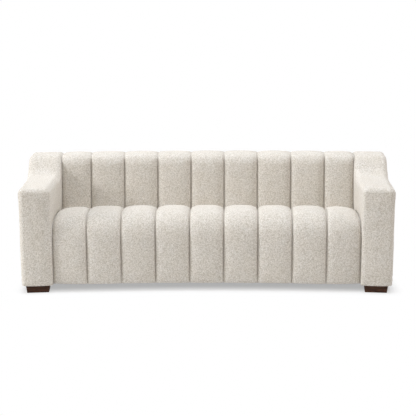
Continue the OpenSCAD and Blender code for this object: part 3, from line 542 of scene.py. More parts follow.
# outer and under are rings x rows x 3; each ring runs over outer and comes back along under
def closedSkin(name, outer, under, material, capEnds):
    loops = np.concatenate([outer, under], axis=1)
    rings, rows = loops.shape[:2]
    i, j = np.meshgrid(np.arange(rings - 1), np.arange(rows), indexing="ij")
    a, b = (i * rows + j).ravel(), (i * rows + (j + 1) % rows).ravel()
    faces = [tuple(f) for f in np.stack([a, a + rows, b + rows, b], axis=1)]
    for end in capEnds:
        ring = [Vector(p) for p in loops[end]]
        base = (rings - 1) * rows if end == -1 else 0
        for tri in tessellate_polygon([ring]):
            faces.append(tuple(base + k for k in tri))
    obj = newObject(name, loops.reshape(-1, 3), faces, material)
    tidyMesh(obj)
    return obj


# the upholstery cloth while air pressure swells it
swelling = {
    "frames": 20,
    "cloth": {
        "quality": 5, "mass": 0.3, "tension_stiffness": 15, "compression_stiffness": 15,
        "shear_stiffness": 5, "bending_stiffness": 0.5, "air_damping": 1.0,
        "use_pressure": True, "uniform_pressure_force": 4, "vertex_group_mass": "held"},
}


# lets air pressure swell a cloth held at its pinned points; no point moves further than its cap
def inflate(label, grid, pinned, cap):
    mesh = newMesh(label, grid.reshape(-1, 3), gridQuads(*grid.shape[:2]))
    obj = linkObject(label, mesh)
    hold = obj.vertex_groups.new(name="held")
    hold.add([int(k) for k in np.nonzero(pinned.ravel())[0]], 1.0, "REPLACE")
    cloth = obj.modifiers.new("cloth", "CLOTH")
    for key, value in swelling["cloth"].items():
        setattr(cloth.settings, key, value)
    cloth.settings.effector_weights.gravity = 0.0
    cloth.point_cache.frame_start = 1
    cloth.point_cache.frame_end = swelling["frames"]
    for step in range(1, swelling["frames"] + 1):
        scene.frame_set(step)
    done = obj.evaluated_get(bpy.context.evaluated_depsgraph_get())
    moved = np.zeros(len(mesh.vertices) * 3, np.float32)
    done.data.vertices.foreach_get("co", moved)
    outward = np.zeros(len(mesh.vertices) * 3, np.float32)
    mesh.vertices.foreach_get("normal", outward)
    outward = outward.reshape(grid.shape)
    # the fill holds the cloth out, so only the part of the movement that swells it counts
    swell = ((moved.reshape(grid.shape) - grid) * outward).sum(axis=2)
    swell = np.clip(swell, 0, np.broadcast_to(np.asarray(cap, float), swell.shape))
    most, middle = float(swell.max()) * 1000, float(np.median(swell)) * 1000
    print(label, "swelled up to", round(most, 1), "mm, middle", round(middle, 2))
    bpy.data.objects.remove(obj)
    bpy.data.meshes.remove(mesh)
    scene.frame_set(1)
    return grid + outward * swell[..., None]


# smooth repeatable noise at points, spread over size metres
def wavering(points, size, seed):
    shift = Vector((seed * 7.31, seed * 3.17, seed * 1.93))
    return np.array([noise.noise(Vector(p) / size + shift) for p in points])


# channelled seat and back

channels = {
    "shoulderPower": 2.6,
    "crownPower": 0.60,
    "startShare": 0.80,      # the crown before the cloth swells
    "edgePower": 1.3,
    "creaseDepth": 0.019,
    "creaseWidth": 0.0045,
    "shares": [0, 0.012, 0.03, 0.055, 0.09, 0.14, 0.2, 0.27, 0.35, 0.43],
    "fillVariation": 0.07,
    "fillSpread": 0.16,      # metres over which the fill gets fuller or flatter
    "laneShift": 5.0,        # how far apart two channels read the noise, so that none repeats
    "pucker": 0.0009,
    "puckerSpread": 0.018,
    "puckerStretch": 0.35,   # puckers run out from the seam, so they are longer that way
    "puckerReach": 0.022,
    "seamShift": 3.0,
    "swellCap": 0.005,
}


def channelPlaces():
    half = channels["shares"]
    one = half + [0.5] + [1 - s for s in reversed(half[1:])]
    places = [c + s - halfCount for c in range(sofa["channels"]) for s in one] + [halfCount]
    return np.array(places)


# share of the crown at a place: nil at the seams, with full shoulders
def channelRise(q):
    t = q + halfCount
    across = np.abs(2 * (t - np.floor(t)) - 1)
    return np.maximum(1 - across ** channels["shoulderPower"], 0) ** channels["crownPower"]


def seamDistance(q):
    t = q + halfCount
    return np.abs(t - np.round(t)) * channelWidth


# how far the seat draws in beside an arm: nil at the last seam, full at the arm
def edgeShare(q):
    return np.maximum(0, np.abs(q) - halfCount + 1) ** channels["edgePower"]


# rise over the seams for each place and row, with uneven fill and puckers along the seams
def channelSurface(profile, q, seed):
    rows = profile["rows"]
    dome = channelRise(q)[:, None] * np.ones(rows)
    lane = np.floor(np.clip(q + halfCount, 0, sofa["channels"] - 1e-6))[:, None] * np.ones(rows)
    along = profile["along"][None, :] * np.ones((len(q), 1))
    flat = np.stack([lane.ravel() * channels["laneShift"], along.ravel(), np.zeros(lane.size)], axis=1)
    uneven = wavering(flat, channels["fillSpread"], seed).reshape(lane.shape)
    fill = 1 + channels["fillVariation"] * uneven
    near = np.exp(-seamDistance(q) / channels["puckerReach"])[:, None]
    seams = np.round(q + halfCount) * channels["seamShift"]
    tucks = np.stack([seams[:, None] * np.ones(rows), along,
                      (seamDistance(q) * channels["puckerStretch"])[:, None] * np.ones(rows)], axis=2)
    ripple = wavering(tucks.reshape(-1, 3), channels["puckerSpread"], seed + 3).reshape(lane.shape)
    pucker = channels["pucker"] * ripple * near
    pinch = channels["creaseDepth"] * np.exp(-seamDistance(q) / channels["creaseWidth"])[:, None]
    ends = (np.abs(q) > halfCount - 1e-6)[:, None]
    detail = np.where(ends, 0, (dome > 0.02) * pucker - pinch * profile["pinch"][None, :])
    return sofa["crown"] * channels["startShare"] * dome * fill + detail


# points inside the sofa at depths and heights, along the channels
def innerWall(q, spots):
    walls = [curvePoint(channelAngle(q, np.full(len(q), d)), d, z) for d, z in spots]
    return np.stack(walls, axis=1)


seat = {
    "hemRadius": 0.018,
    "rearRadius": 0.020,
    "lowDrop": 0.75,         # share of the sinking beside the arms that reaches the front
    "heldRows": 4,           # at the hem, which doesn't swell
    "topDepth": 0.41,        # from the nose back to the crease
    "noseReach": 0.145,      # lengths of cloth, over which the fill varies
    "noseRun": 0.228,
    "topRun": 0.42,
    "tuckRun": 0.06,
    "deckDepths": (0.36, 0.2),   # where the underside is held level on the deck
    "railHeight": 0.16,
}


# rows up the front, over the nose, back along the top and down behind
def seatSurface(q):
    noseZ = sofa["seatHeight"] - sofa["noseHeight"]
    straight = np.linspace(seat["hemRadius"], noseZ - sofa["footHeight"], 22)
    frontZ = np.concatenate([[0, 0.003, 0.0065], straight])
    noseP = np.radians(np.linspace(0, 90, 25)[1:])
    topS = np.concatenate([np.linspace(0, 0.94, 40)[1:], [0.955, 0.97, 0.982, 0.992, 1.0]])
    tuckS = np.linspace(0, 1, 6)[1:]
    counts = [len(frontZ), len(noseP), len(topS), len(tuckS)]
    rows = sum(counts)
    noseStart = frontZ[-1]
    topStart = noseStart + seat["noseRun"]
    along = np.concatenate([
        frontZ, noseStart + noseP * seat["noseReach"], topStart + topS * seat["topRun"],
        topStart + seat["topRun"] + tuckS * seat["tuckRun"]])
    pinch = np.concatenate([np.ones(rows - counts[3]), 1 - tuckS])
    profile = {"rows": rows, "along": along, "pinch": pinch}
    rise = channelSurface(profile, q, 1)
    drop = (sofa["edgeDrop"] * edgeShare(q))[:, None]
    part = np.cumsum([0] + counts)
    front, nose, top, tuck = [slice(part[k], part[k + 1]) for k in range(4)]
    depth = np.zeros((len(q), rows))
    height = np.zeros((len(q), rows))
    t = frontZ / frontZ[-1]
    crownShare = np.interp(t, [0, 0.18, 0.6, 1], [0.35, 0.8, 1, 1])
    roll = edgeFall(frontZ, seat["hemRadius"])
    depth[:, front] = drop * seat["lowDrop"] - rise[:, front] * crownShare + roll
    height[:, front] = sofa["footHeight"] + frontZ
    out = rise[:, nose] - drop * np.interp(np.degrees(noseP), [0, 22.5, 90], [seat["lowDrop"], 1, 1])
    depth[:, nose] = sofa["noseDepth"] - (sofa["noseDepth"] + out) * np.cos(noseP)
    height[:, nose] = noseZ + (sofa["noseHeight"] + out) * np.sin(noseP)
    plain = sofa["crown"] * channelRise(q)[:, None]
    rear = backDepth(creaseHeight + plain) - plain - clearance
    depth[:, top] = sofa["noseDepth"] + (rear - sofa["noseDepth"]) * topS
    rearRoll = edgeFall((1 - topS) * seat["topDepth"], seat["rearRadius"])
    height[:, top] = (creaseHeight + sofa["seatFall"] * (1 - topS ** 2) + rise[:, top]
                      - drop * np.interp(topS, [0, 0.35, 0.7, 1], [1, 0.55, 0.3, 0.3]) - rearRoll)
    lowDepth = backDepth(backHem) - plain - clearance
    depth[:, tuck] = rear + (lowDepth - rear) * tuckS
    height[:, tuck] = height[:, top][:, -1:] + (backHem - height[:, top][:, -1:]) * tuckS
    grid = curvePoint(channelAngle(q[:, None], depth), depth, height)
    fill = sofa["backFill"] - clearance
    under = innerWall(q, [
        (behindBack(backHem, fill), backHem - 2 * clearance), (behindBack(foamLow, fill), foamLow),
        *((d, foamLow) for d in seat["deckDepths"]), (wallFill, foamLow), (wallFill, seat["railHeight"]),
        (wallFill, sofa["footHeight"])])
    held = np.zeros((len(q), rows), bool)
    held[:, :seat["heldRows"]] = True
    held[:, -counts[3] - 2:] = True
    return grid, under, held


back = {
    "frontRadius": 0.055,
    "rearRadius": 0.025,
    "bendRun": 0.06,         # lengths of cloth, over which the fill varies
    "rearRun": 0.04,
    "hemRun": 0.015,
    "hemTuck": 0.0015,
    "noiseStart": 3.0,       # so that the fill isn't uneven in the same way as in the seat
    "middleHeight": 0.6,     # of the point halfway up the inside of the fill
    "heldLow": 5,            # rows at the foot and at the hem that don't swell
    "heldHigh": 4,
}


# rows up the leaning face, over the top and down to the rear hem
def backSurface(q):
    lean, frontR, rearR = sofa["backLean"], back["frontRadius"], back["rearRadius"]
    faceTop = backTop - frontR + frontR * math.sin(lean)
    cornerDepth = backDepth(faceTop) + frontR * math.cos(lean)
    faceS = np.linspace(0, 1, 46)
    roundS = np.linspace(0, 1, 9)[1:]
    flatS = np.linspace(0, 1, 7)[1:]
    rearP = np.radians(np.linspace(0, 90, 7)[1:])
    hemS = np.array([0.5, 1.0])
    counts = [len(faceS), len(roundS), len(flatS), len(rearP), len(hemS)]
    rows = sum(counts)
    faceRun = (faceTop - backHem) / math.cos(lean)
    flatRun = sofa["depth"] - rearR - cornerDepth
    flatStart = faceRun + back["bendRun"]
    rearStart = flatStart + flatRun
    along = back["noiseStart"] + np.concatenate([
        faceS * faceRun, faceRun + roundS * back["bendRun"], flatStart + flatS * flatRun,
        rearStart + rearP * rearR, rearStart + back["rearRun"] + hemS * back["hemRun"]])
    pinch = np.concatenate([
        np.ones(counts[0] + counts[1]), np.linspace(1, 0.5, counts[2]),
        np.linspace(0.5, 0, counts[3]), np.zeros(2)])
    rise = channelSurface({"rows": rows, "along": along, "pinch": pinch}, q, 2)
    part = np.cumsum([0] + counts)
    face, bend, flat, rear, hem = [slice(part[k], part[k + 1]) for k in range(5)]
    depth = np.zeros((len(q), rows))
    height = np.zeros((len(q), rows))
    z = backHem + (faceTop - backHem) * faceS
    low = np.interp(faceS, [0, 0.1], [0.7, 1])
    depth[:, face] = backDepth(z) - rise[:, face] * low * math.cos(lean)
    height[:, face] = z + rise[:, face] * low * math.sin(lean) * np.minimum(faceS * 8, 1)
    p = lean + (math.pi / 2 - lean) * roundS
    reach = frontR + rise[:, bend] * (1 - roundS * (1 - topCrownShare))
    depth[:, bend] = cornerDepth - reach * np.cos(p)
    height[:, bend] = backTop - frontR + reach * np.sin(p)
    depth[:, flat] = cornerDepth + flatRun * flatS
    height[:, flat] = backTop + rise[:, flat] * topCrownShare
    reach = rearR + rise[:, rear] * topCrownShare * np.cos(rearP)
    depth[:, rear] = sofa["depth"] - rearR + rearR * np.sin(rearP)
    height[:, rear] = backTop - rearR + reach * np.cos(rearP)
    depth[:, hem] = sofa["depth"] - np.array([0, back["hemTuck"]])
    height[:, hem] = backTop - rearR + (rearHem - backTop + rearR) * hemS
    grid = curvePoint(channelAngle(q[:, None], depth), depth, height)
    fill = sofa["backFill"] + clearance
    fillTop = backTop - fill
    ribFace = sofa["ribFace"]
    middle = back["middleHeight"]
    under = innerWall(q, [
        (panelFace, rearHem), (panelFace, fillTop), (behindBack(fillTop, foamFace), fillTop),
        (behindBack(middle, foamFace), middle), (ribFace, kneeHeight(ribFace, foamFace)),
        (ribFace, foamLow), (behindBack(foamLow, fill), foamLow), (behindBack(backHem, fill), backHem)])
    held = np.zeros((len(q), rows), bool)
    held[:, :back["heldLow"]] = True
    held[:, -back["heldHigh"]:] = True
    return grid, under, held


def buildChannelled(name, surface, replaced):
    q = channelPlaces()
    grid, under, held = surface(q)
    held[seamDistance(q) < 1e-6] = True
    cap = channels["swellCap"] * channelRise(q)[:, None] * np.ones(held.shape[1])
    grid = inflate(name + "Cloth", grid, held, cap)
    obj = closedSkin(name, grid, under, boucle, (0, -1))
    settle(obj, "boucle", *replaced)
    return grid


seatGrid = buildChannelled("seatUpholstery", seatSurface, ["seat_cover", "seat_foam"])
backGrid = buildChannelled("backUpholstery", backSurface, ["back_cover", "back_foam"])
print("seat and back ready")


# padded arms

arm = {
    "riseStart": 0.47045,
    "riseAngle": math.radians(45),
    "riseRadius": 0.160,
    "headRadius": 0.090,
    "rearRadius": 0.018,
    "rearGap": 0.0035,       # the inside wall stops this far ahead of the fibreboard
    "rearStart": 0.010,      # first ring ahead of the rear edge
    "riseMargin": 0.006,
    "innerFrontRadius": 0.018,  # the corner beside the seat is tighter than the outer one
    "roundShares": (0.8, 0.48),  # most of the height and width that the corners may take
    "hollowShare": 0.4,
    "middleTop": 0.110,      # from the top of the arm down to the line that the front closes on
    "leastRadius": 0.003,
    "frontCrown": 0.005,
    "padding": 0.012,
    "innerFill": 0.0326,     # padding and foam on the inside
    "hollowEdge": 0.012,
    "hollowLift": 0.004,     # over the hem of the outer back, where the hollow ends
    "hollowDrop": 0.020,
    "hollowTip": 0.001,
    "wallRows": 46,
    "cornerRows": 8,
    "topRows": 12,
    "step": 0.011,
    "heldRings": 9,          # the rear ones, which don't swell
    "besideSeat": (0.02, 0.45),  # nor does the inside behind this depth and below this height
    "swellCap": 0.0022,
}


# depth and height of the rise, from front to back
def armTop(inset=0.0):
    a, r1, r2 = arm["riseAngle"], arm["riseRadius"], arm["headRadius"]
    climb = armBackHeight - sofa["armHeight"]
    run = (climb - (r1 + r2) * (1 - math.cos(a))) / math.tan(a)
    headV = arm["riseStart"] + (r1 + r2) * math.sin(a) + run
    p = np.linspace(0, a, 13)
    lowV = arm["riseStart"] + (r1 + inset) * np.sin(p)
    low = np.stack([lowV, sofa["armHeight"] + r1 - (r1 + inset) * np.cos(p)], 1)
    p = p[::-1]
    highV = headV - (r2 - inset) * np.sin(p)
    high = np.stack([highV, armBackHeight - r2 + (r2 - inset) * np.cos(p)], 1)
    slope = low[-1] + (high[0] - low[-1]) * np.linspace(0, 1, 12)[1:-1, None]
    return np.concatenate([low, slope, high])


# over the arm at one depth: outside bottom, corner, top, corner, inside bottom
def armPath(v, top, radius, inset, outerZ, innerZ, innerInset=None):
    outU = outerU(v, inset)
    inU = innerU(v, inset if innerInset is None else innerInset)
    tall, wide = arm["roundShares"]
    radius = min(radius, (top - max(outerZ, innerZ)) * tall, (outU - inU) * wide)
    wall = np.linspace(0, 1, arm["wallRows"], endpoint=False)
    p = np.linspace(0, math.pi / 2, arm["cornerRows"] + 1)
    across = np.linspace(0, 1, arm["topRows"] + 1)[1:-1]
    edgeZ = top - radius
    innerWallZ = edgeZ + (innerZ - edgeZ) * (wall + 1 / arm["wallRows"])
    parts = [
        np.stack([np.full(len(wall), outU), outerZ + (edgeZ - outerZ) * wall], 1),
        np.stack([outU - radius + radius * np.cos(p), edgeZ + radius * np.sin(p)], 1),
        np.stack([outU - radius + (inU - outU + 2 * radius) * across, np.full(len(across), top)], 1),
        np.stack([inU + radius - radius * np.cos(p[::-1]), edgeZ + radius * np.sin(p[::-1])], 1),
        np.stack([np.full(len(wall), inU), innerWallZ], 1)]
    uz = np.concatenate(parts)
    return np.stack([uz[:, 0], np.full(len(uz), v), uz[:, 1]], 1)


# the coarse inside of the padding, from the inside bottom back to the outside bottom
def hollowPath(v, top, radius, inset, innerInset, outerZ, innerZ):
    outU, inU = outerU(v, inset), innerU(v, innerInset)
    share = arm["hollowShare"]
    radius = min(radius, (top - max(outerZ, innerZ)) * share, abs(outU - inU) * share)
    middle, edgeZ = (outU + inU) / 2, top - radius
    uz = [(inU, innerZ), (inU, (innerZ + edgeZ) / 2), (inU, edgeZ), (inU + radius, top), (middle, top),
          (outU - radius, top), (outU, edgeZ), (outU, (outerZ + edgeZ) / 2), (outU, outerZ)]
    return np.array([(u, v, z) for u, z in uz])


# the middle line of the front, on which the outlines close
def middleLine(path, v):
    n = len(path)
    half = (n - 1) / 2
    share = 1 - np.abs(np.arange(n) - half) / half
    low, high = sofa["footHeight"], sofa["armHeight"] - arm["middleTop"]
    return np.stack([np.full(n, (innerU(v) + outerU(v)) / 2), np.full(n, v), low + (high - low) * share], 1)


def armRings():
    edge, foot, pad, fill = sofa["armEdge"], sofa["footHeight"], arm["padding"], arm["innerFill"]
    depth, rr, curve = sofa["depth"], arm["rearRadius"], arm["hollowEdge"]
    outer, hollow = [], []
    # rear block over the hem of the outer back, then the outside wall reaches down to close on it
    for turn in (90, 75, 60, 45, 30.5, 30, 15, 0):
        p = math.radians(turn)
        v, top = depth - rr + rr * math.sin(p), armBackHeight - rr + rr * math.cos(p)
        outerLow = foot if turn <= 30 else rearHem
        innerLow = foamLow if v < frameBack - arm["rearGap"] else rearHem
        outer.append(armPath(v, top, edge, 0, outerLow, innerLow))
        hollowTop = rearHem + arm["hollowLift"] + arm["hollowDrop"] * (depth - v) / rr
        hollow.append(hollowPath(v, hollowTop, arm["hollowTip"], pad, fill, outerLow, innerLow))
    # depth and height along the slab, of the outside and of the hollow in it
    rise = armTop()[::-1]
    slab = [(v, armBackHeight, v, armBackHeight - pad) for v in np.arange(
        frameBack - arm["rearStart"], rise[0][0] + arm["riseMargin"], -arm["step"])]
    slab += [(*o, *h) for o, h in zip(rise, armTop(pad)[::-1])]
    slab += [(v, sofa["armHeight"], v, sofa["armHeight"] - pad) for v in np.arange(
        arm["riseStart"] - arm["step"], edge + arm["step"], -arm["step"])]
    for v, top, hollowV, hollowTop in slab:
        outer.append(armPath(v, top, edge, 0, foot, foamLow))
        hollow.append(hollowPath(hollowV, hollowTop, curve, pad, fill, foot, foamLow))
    # rolled front edge, then nested outlines that close on the middle line of the front
    for p in np.radians(np.arange(0, 91, 10)):
        fall, v = edge * (1 - math.cos(p)), edge * (1 - math.sin(p))
        radius = max(edge * math.cos(p), arm["leastRadius"])
        innerFall = edgeFall(v, arm["innerFrontRadius"])
        outer.append(armPath(v, sofa["armHeight"] - fall, radius, fall, foot, foot, innerFall))
        inset, radius = pad + curve * (1 - math.cos(p)), max(curve * math.cos(p), arm["leastRadius"])
        hollow.append(hollowPath(pad + curve * (1 - math.sin(p)), sofa["armHeight"] - inset,
                                 radius, inset, inset, foot, foot))
    closings = ((outer, outer[-1], 0, arm["frontCrown"]), (hollow, hollow[-1], pad, 0))
    for s in np.linspace(0, 1, 8)[1:]:
        for rings, last, v, crown in closings:
            ring = last + (middleLine(last, v) - last) * s
            ring[:, 1] = v - crown * (1 - (1 - s) ** 2)
            rings.append(ring)
    return np.array(outer), np.array(hollow)


def buildArm(side, label):
    outer, hollow = armRings()
    grid = armPoint(outer[..., 0], outer[..., 1], outer[..., 2], side)
    inner = armPoint(hollow[..., 0], hollow[..., 1], hollow[..., 2], side)
    held = np.zeros(grid.shape[:2], bool)
    held[:arm["heldRings"]] = True
    held[-1] = True
    held[:, :2] = True
    held[:, -2:] = True
    behind, below = arm["besideSeat"]
    insideHalf = (np.arange(grid.shape[1]) > grid.shape[1] / 2)[None, :]
    held |= insideHalf & (outer[..., 2] < below) & (outer[..., 1] > behind)
    # the rows of the right arm run the other way, so that the faces of its cloth look outwards too
    order = slice(None, None, -side)
    grid = inflate("arm" + label + "Cloth", grid[:, order], held[:, order], arm["swellCap"])[:, order]
    obj = closedSkin("arm" + label + "Upholstery", grid, inner, boucle, (0,))
    tag = label.lower()
    settle(obj, "boucle", "arm_cover_" + tag, "arm_foam_" + tag)


buildArm(-1, "Left")
buildArm(1, "Right")
print("arms ready")


# rule trees: each grows a piece from its named sizes

def newRule(label, sizes):
    tree = bpy.data.node_groups.new(label, "GeometryNodeTree")
    tree.interface.new_socket("Base", in_out="INPUT", socket_type="NodeSocketGeometry")
    for name, value in sizes.items():
        kind = "NodeSocketInt" if isinstance(value, int) else "NodeSocketFloat"
        tree.interface.new_socket(name, in_out="INPUT", socket_type=kind).default_value = value
    tree.interface.new_socket("Finish", in_out="INPUT", socket_type="NodeSocketMaterial")
    tree.interface.new_socket("Piece", in_out="OUTPUT", socket_type="NodeSocketGeometry")
    return tree, tree.nodes.new("NodeGroupInput").outputs


def endRule(tree, given, geometry):
    smooth = addNode(tree, "GeometryNodeSetShadeSmooth", {"Geometry": geometry})
    real = addNode(tree, "GeometryNodeRealizeInstances", {"Geometry": smooth})
    dressed = addNode(tree, "GeometryNodeSetMaterial", {"Geometry": real, "Material": given["Finish"]})
    addNode(tree, "NodeGroupOutput", {"Piece": dressed})


def growPiece(name, tree, sizes, material, base=None):
    piece = linkObject(name, base or bpy.data.meshes.new(name + "Base"))
    rule = piece.modifiers.new("rule", "NODES")
    rule.node_group = tree
    given = {**sizes, "Finish": material}
    for item in tree.interface.items_tree:
        if item.in_out == "INPUT" and item.name in given:
            rule[item.identifier] = given[item.name]
    depsgraph = bpy.context.evaluated_depsgraph_get()
    grown = bpy.data.meshes.new_from_object(piece.evaluated_get(depsgraph), depsgraph=depsgraph)
    piece.modifiers.remove(rule)
    piece.data = grown
    print(name, len(grown.polygons), "faces")
    return piece


# outer back: one taut panel of the same cloth, softly bulged between its stitched edges

outerBack = {
    "Radius": sofa["curveRadius"] + sofa["depth"] - sofa["outerCover"],   # its inner face
    "Centre Y": centerY,
    "Half Angle": float(outerLineAngle(sofa["depth"] - sofa["outerCover"] / 2)),
    "Low": sofa["footHeight"],
    "High": rearHem - clearance,
    "Thickness": sofa["outerCover"],
    "Edge Share": 0.3,       # of the thickness, left at the very edge
    "Edge Round": 0.006,
    "Edge Crowding": 1.5,    # rows and columns crowd towards the edges by this power
    "Bulge": 0.0022,
    "Bulge Margin": 0.16,
    "Slack": 0.0016,         # how far the cloth wanders from the taut shape
    "Columns": 201,
    "Rows": 71,
}


def outerBackRule():
    tree, given = newRule("outer back panel", outerBack)
    block = addNode(tree, "GeometryNodeMeshCube", {
        "Size": (2, 2, 2), "Vertices X": given["Columns"], "Vertices Y": 3, "Vertices Z": given["Rows"]})
    spot = addNode(tree, "GeometryNodeInputPosition")
    place = addNode(tree, "ShaderNodeSeparateXYZ", {0: spot}).outputs
    tall = addNode(tree, "ShaderNodeMath", {0: given["High"], 1: given["Low"]}, operation="SUBTRACT")
    halfTall = addNode(tree, "ShaderNodeMath", {0: tall, 1: 0.5}, operation="MULTIPLY")
    halfWide = addNode(tree, "ShaderNodeMath", {
        0: given["Radius"], 1: given["Half Angle"]}, operation="MULTIPLY")
    gaps, shares = {}, {}
    for axis, half in (("X", halfWide), ("Z", halfTall)):
        far = addNode(tree, "ShaderNodeMath", {0: place[axis]}, operation="ABSOLUTE")
        left = addNode(tree, "ShaderNodeMath", {0: 1.0, 1: far}, operation="SUBTRACT", use_clamp=True)
        crowded = addNode(tree, "ShaderNodeMath", {0: left, 1: given["Edge Crowding"]}, operation="POWER")
        gaps[axis] = addNode(tree, "ShaderNodeMath", {0: crowded, 1: half}, operation="MULTIPLY")
        away = addNode(tree, "ShaderNodeMath", {0: 1.0, 1: crowded}, operation="SUBTRACT")
        side = addNode(tree, "ShaderNodeMath", {0: place[axis]}, operation="SIGN")
        shares[axis] = addNode(tree, "ShaderNodeMath", {0: away, 1: side}, operation="MULTIPLY")
    gap = addNode(tree, "ShaderNodeMath", {0: gaps["X"], 1: gaps["Z"]}, operation="MINIMUM")
    # rounded edge, then the bulge, then a little slack
    short = addNode(tree, "ShaderNodeMapRange", {
        "Value": gap, "From Max": given["Edge Round"], "To Min": 1.0, "To Max": 0.0})
    squared = addNode(tree, "ShaderNodeMath", {0: short, 1: 2.0}, operation="POWER")
    kept = addNode(tree, "ShaderNodeMath", {0: 1.0, 1: squared}, operation="SUBTRACT")
    arch = addNode(tree, "ShaderNodeMath", {0: kept}, operation="SQRT")
    wall = addNode(tree, "ShaderNodeMapRange", {"Value": arch, "To Min": given["Edge Share"]})
    skin = addNode(tree, "ShaderNodeMath", {0: wall, 1: given["Thickness"]}, operation="MULTIPLY")
    inside = addNode(tree, "ShaderNodeMapRange", {
        "Value": gap, "From Max": given["Bulge Margin"]}, interpolation_type="SMOOTHSTEP")
    bulge = addNode(tree, "ShaderNodeMath", {
        0: inside, 1: given["Bulge"], 2: skin}, operation="MULTIPLY_ADD")
    wander = addNode(tree, "ShaderNodeTexNoise", {"Vector": spot, "Scale": 2.6, "Detail": 2.0})
    centred = addNode(tree, "ShaderNodeMath", {0: wander, 1: 0.5}, operation="SUBTRACT")
    slack = addNode(tree, "ShaderNodeMath", {0: centred, 1: given["Slack"]}, operation="MULTIPLY")
    slackInside = addNode(tree, "ShaderNodeMath", {0: slack, 1: inside, 2: bulge}, operation="MULTIPLY_ADD")
    through = addNode(tree, "ShaderNodeMapRange", {"Value": place["Y"], "From Min": -1.0})
    reach = addNode(tree, "ShaderNodeMath", {
        0: through, 1: slackInside, 2: given["Radius"]}, operation="MULTIPLY_ADD")
    turn = addNode(tree, "ShaderNodeMath", {0: shares["X"], 1: given["Half Angle"]}, operation="MULTIPLY")
    sine = addNode(tree, "ShaderNodeMath", {0: turn}, operation="SINE")
    cosine = addNode(tree, "ShaderNodeMath", {0: turn}, operation="COSINE")
    x = addNode(tree, "ShaderNodeMath", {0: reach, 1: sine}, operation="MULTIPLY")
    y = addNode(tree, "ShaderNodeMath", {
        0: reach, 1: cosine, 2: given["Centre Y"]}, operation="MULTIPLY_ADD")
    middle = addNode(tree, "ShaderNodeMath", {0: given["Low"], 1: halfTall}, operation="ADD")
    z = addNode(tree, "ShaderNodeMath", {0: shares["Z"], 1: halfTall, 2: middle}, operation="MULTIPLY_ADD")
    bent = addNode(tree, "ShaderNodeCombineXYZ", {0: x, 1: y, 2: z})
    moved = addNode(tree, "GeometryNodeSetPosition", {"Geometry": block, "Position": bent})
    endRule(tree, given, moved)
    return tree


def buildOuterBack():
    piece = growPiece("outerBackUpholstery", outerBackRule(), outerBack, boucle)
    tidyMesh(piece)
    settle(piece, "boucle", "outer_back_cover")


buildOuterBack()


# feet: tapered beech blocks with eased edges

feet = {
    "width": 0.145, "depth": 0.100, "taper": 0.005,
    "low": 0.002,            # the glide lifts the wood off the floor
    "ease": 0.0028,
    "frontV": 0.062, "rearV": 0.740, "centreDepth": 0.3269,
}


def buildFoot(name, node, place, turn):
    work = bmesh.new()
    for z, inset in ((feet["low"], feet["taper"]), (sofa["footHeight"], 0.0)):
        w, d = feet["width"] / 2 - inset, feet["depth"] / 2 - inset
        for x, y in ((-w, -d), (w, -d), (w, d), (-w, d)):
            work.verts.new((x, y, z))
    work.verts.ensure_lookup_table()
    for corners in ((3, 2, 1, 0), (4, 5, 6, 7), (0, 1, 5, 4), (1, 2, 6, 5), (2, 3, 7, 6), (3, 0, 4, 7)):
        work.faces.new([work.verts[k] for k in corners])
    bmesh.ops.bevel(work, geom=work.edges[:], offset=feet["ease"], segments=4, profile=0.5, affect="EDGES")
    bmesh.ops.recalc_face_normals(work, faces=work.faces)
    standing = Matrix.Translation(place) @ Matrix.Rotation(turn, 4, "Z")
    bmesh.ops.transform(work, matrix=standing, verts=work.verts)
    mesh = bpy.data.meshes.new(name)
    work.to_mesh(mesh)
    work.free()
    mesh.materials.append(footWood)
    mesh.polygons.foreach_set("use_smooth", np.ones(len(mesh.polygons), bool))
    foot = linkObject(name, mesh)
    foot.modifiers.new("flat faces stay flat", "WEIGHTED_NORMAL").weight = 100
    settle(foot, "foot_wood", node)


for side, label in ((-1, "left"), (1, "right")):
    for end, v in (("front", feet["frontV"]), ("rear", feet["rearV"])):
        spot = armPoint((innerU(v) + outerU(v)) / 2, v, 0, side)
        buildFoot("foot" + end.title() + label.title(), f"foot_{end}_{label}", Vector(spot), -side * armAngle)
buildFoot("footCentre", "foot_center", Vector(curvePoint(0, feet["centreDepth"], 0)), 0.0)
print("outer back and feet ready")


# sheets: dust cover below, deck cloth on the springs, webbing behind the back foam

# how a sheet hangs: deepest along its middle, and not equally deep everywhere
sagging = {"even": 0.7, "uneven": 0.5, "spread": 0.8, "across": 8, "along": 3, "seed": 5}


# a strip across the sofa, from one edge angle to the other, that hangs a little between its long edges
def arcSheet(name, depths, heights, edgeAngle, cloth):
    share = np.linspace(-1, 1, cloth["columns"])[:, None]
    rows = np.linspace(0, 1, len(depths))[None, :]
    depth = depths[None, :] + 0 * share
    angle = share * edgeAngle(depth)
    spots = np.stack([share * sagging["across"] + 0 * rows, rows * sagging["along"] + 0 * share,
                      0 * share * rows], 2).reshape(-1, 3)
    waver = wavering(spots, sagging["spread"], sagging["seed"]).reshape(angle.shape)
    hang = np.sin(math.pi * rows) * (sagging["even"] + sagging["uneven"] * waver)
    low = heights - cloth["sag"] * hang
    top = curvePoint(angle, depth, low + cloth["thickness"])
    bottom = curvePoint(angle, depth, low)
    obj = closedSkin(name, top, bottom[:, ::-1], cloth["material"], (0, -1))
    settle(obj, cloth["slot"], cloth["node"])


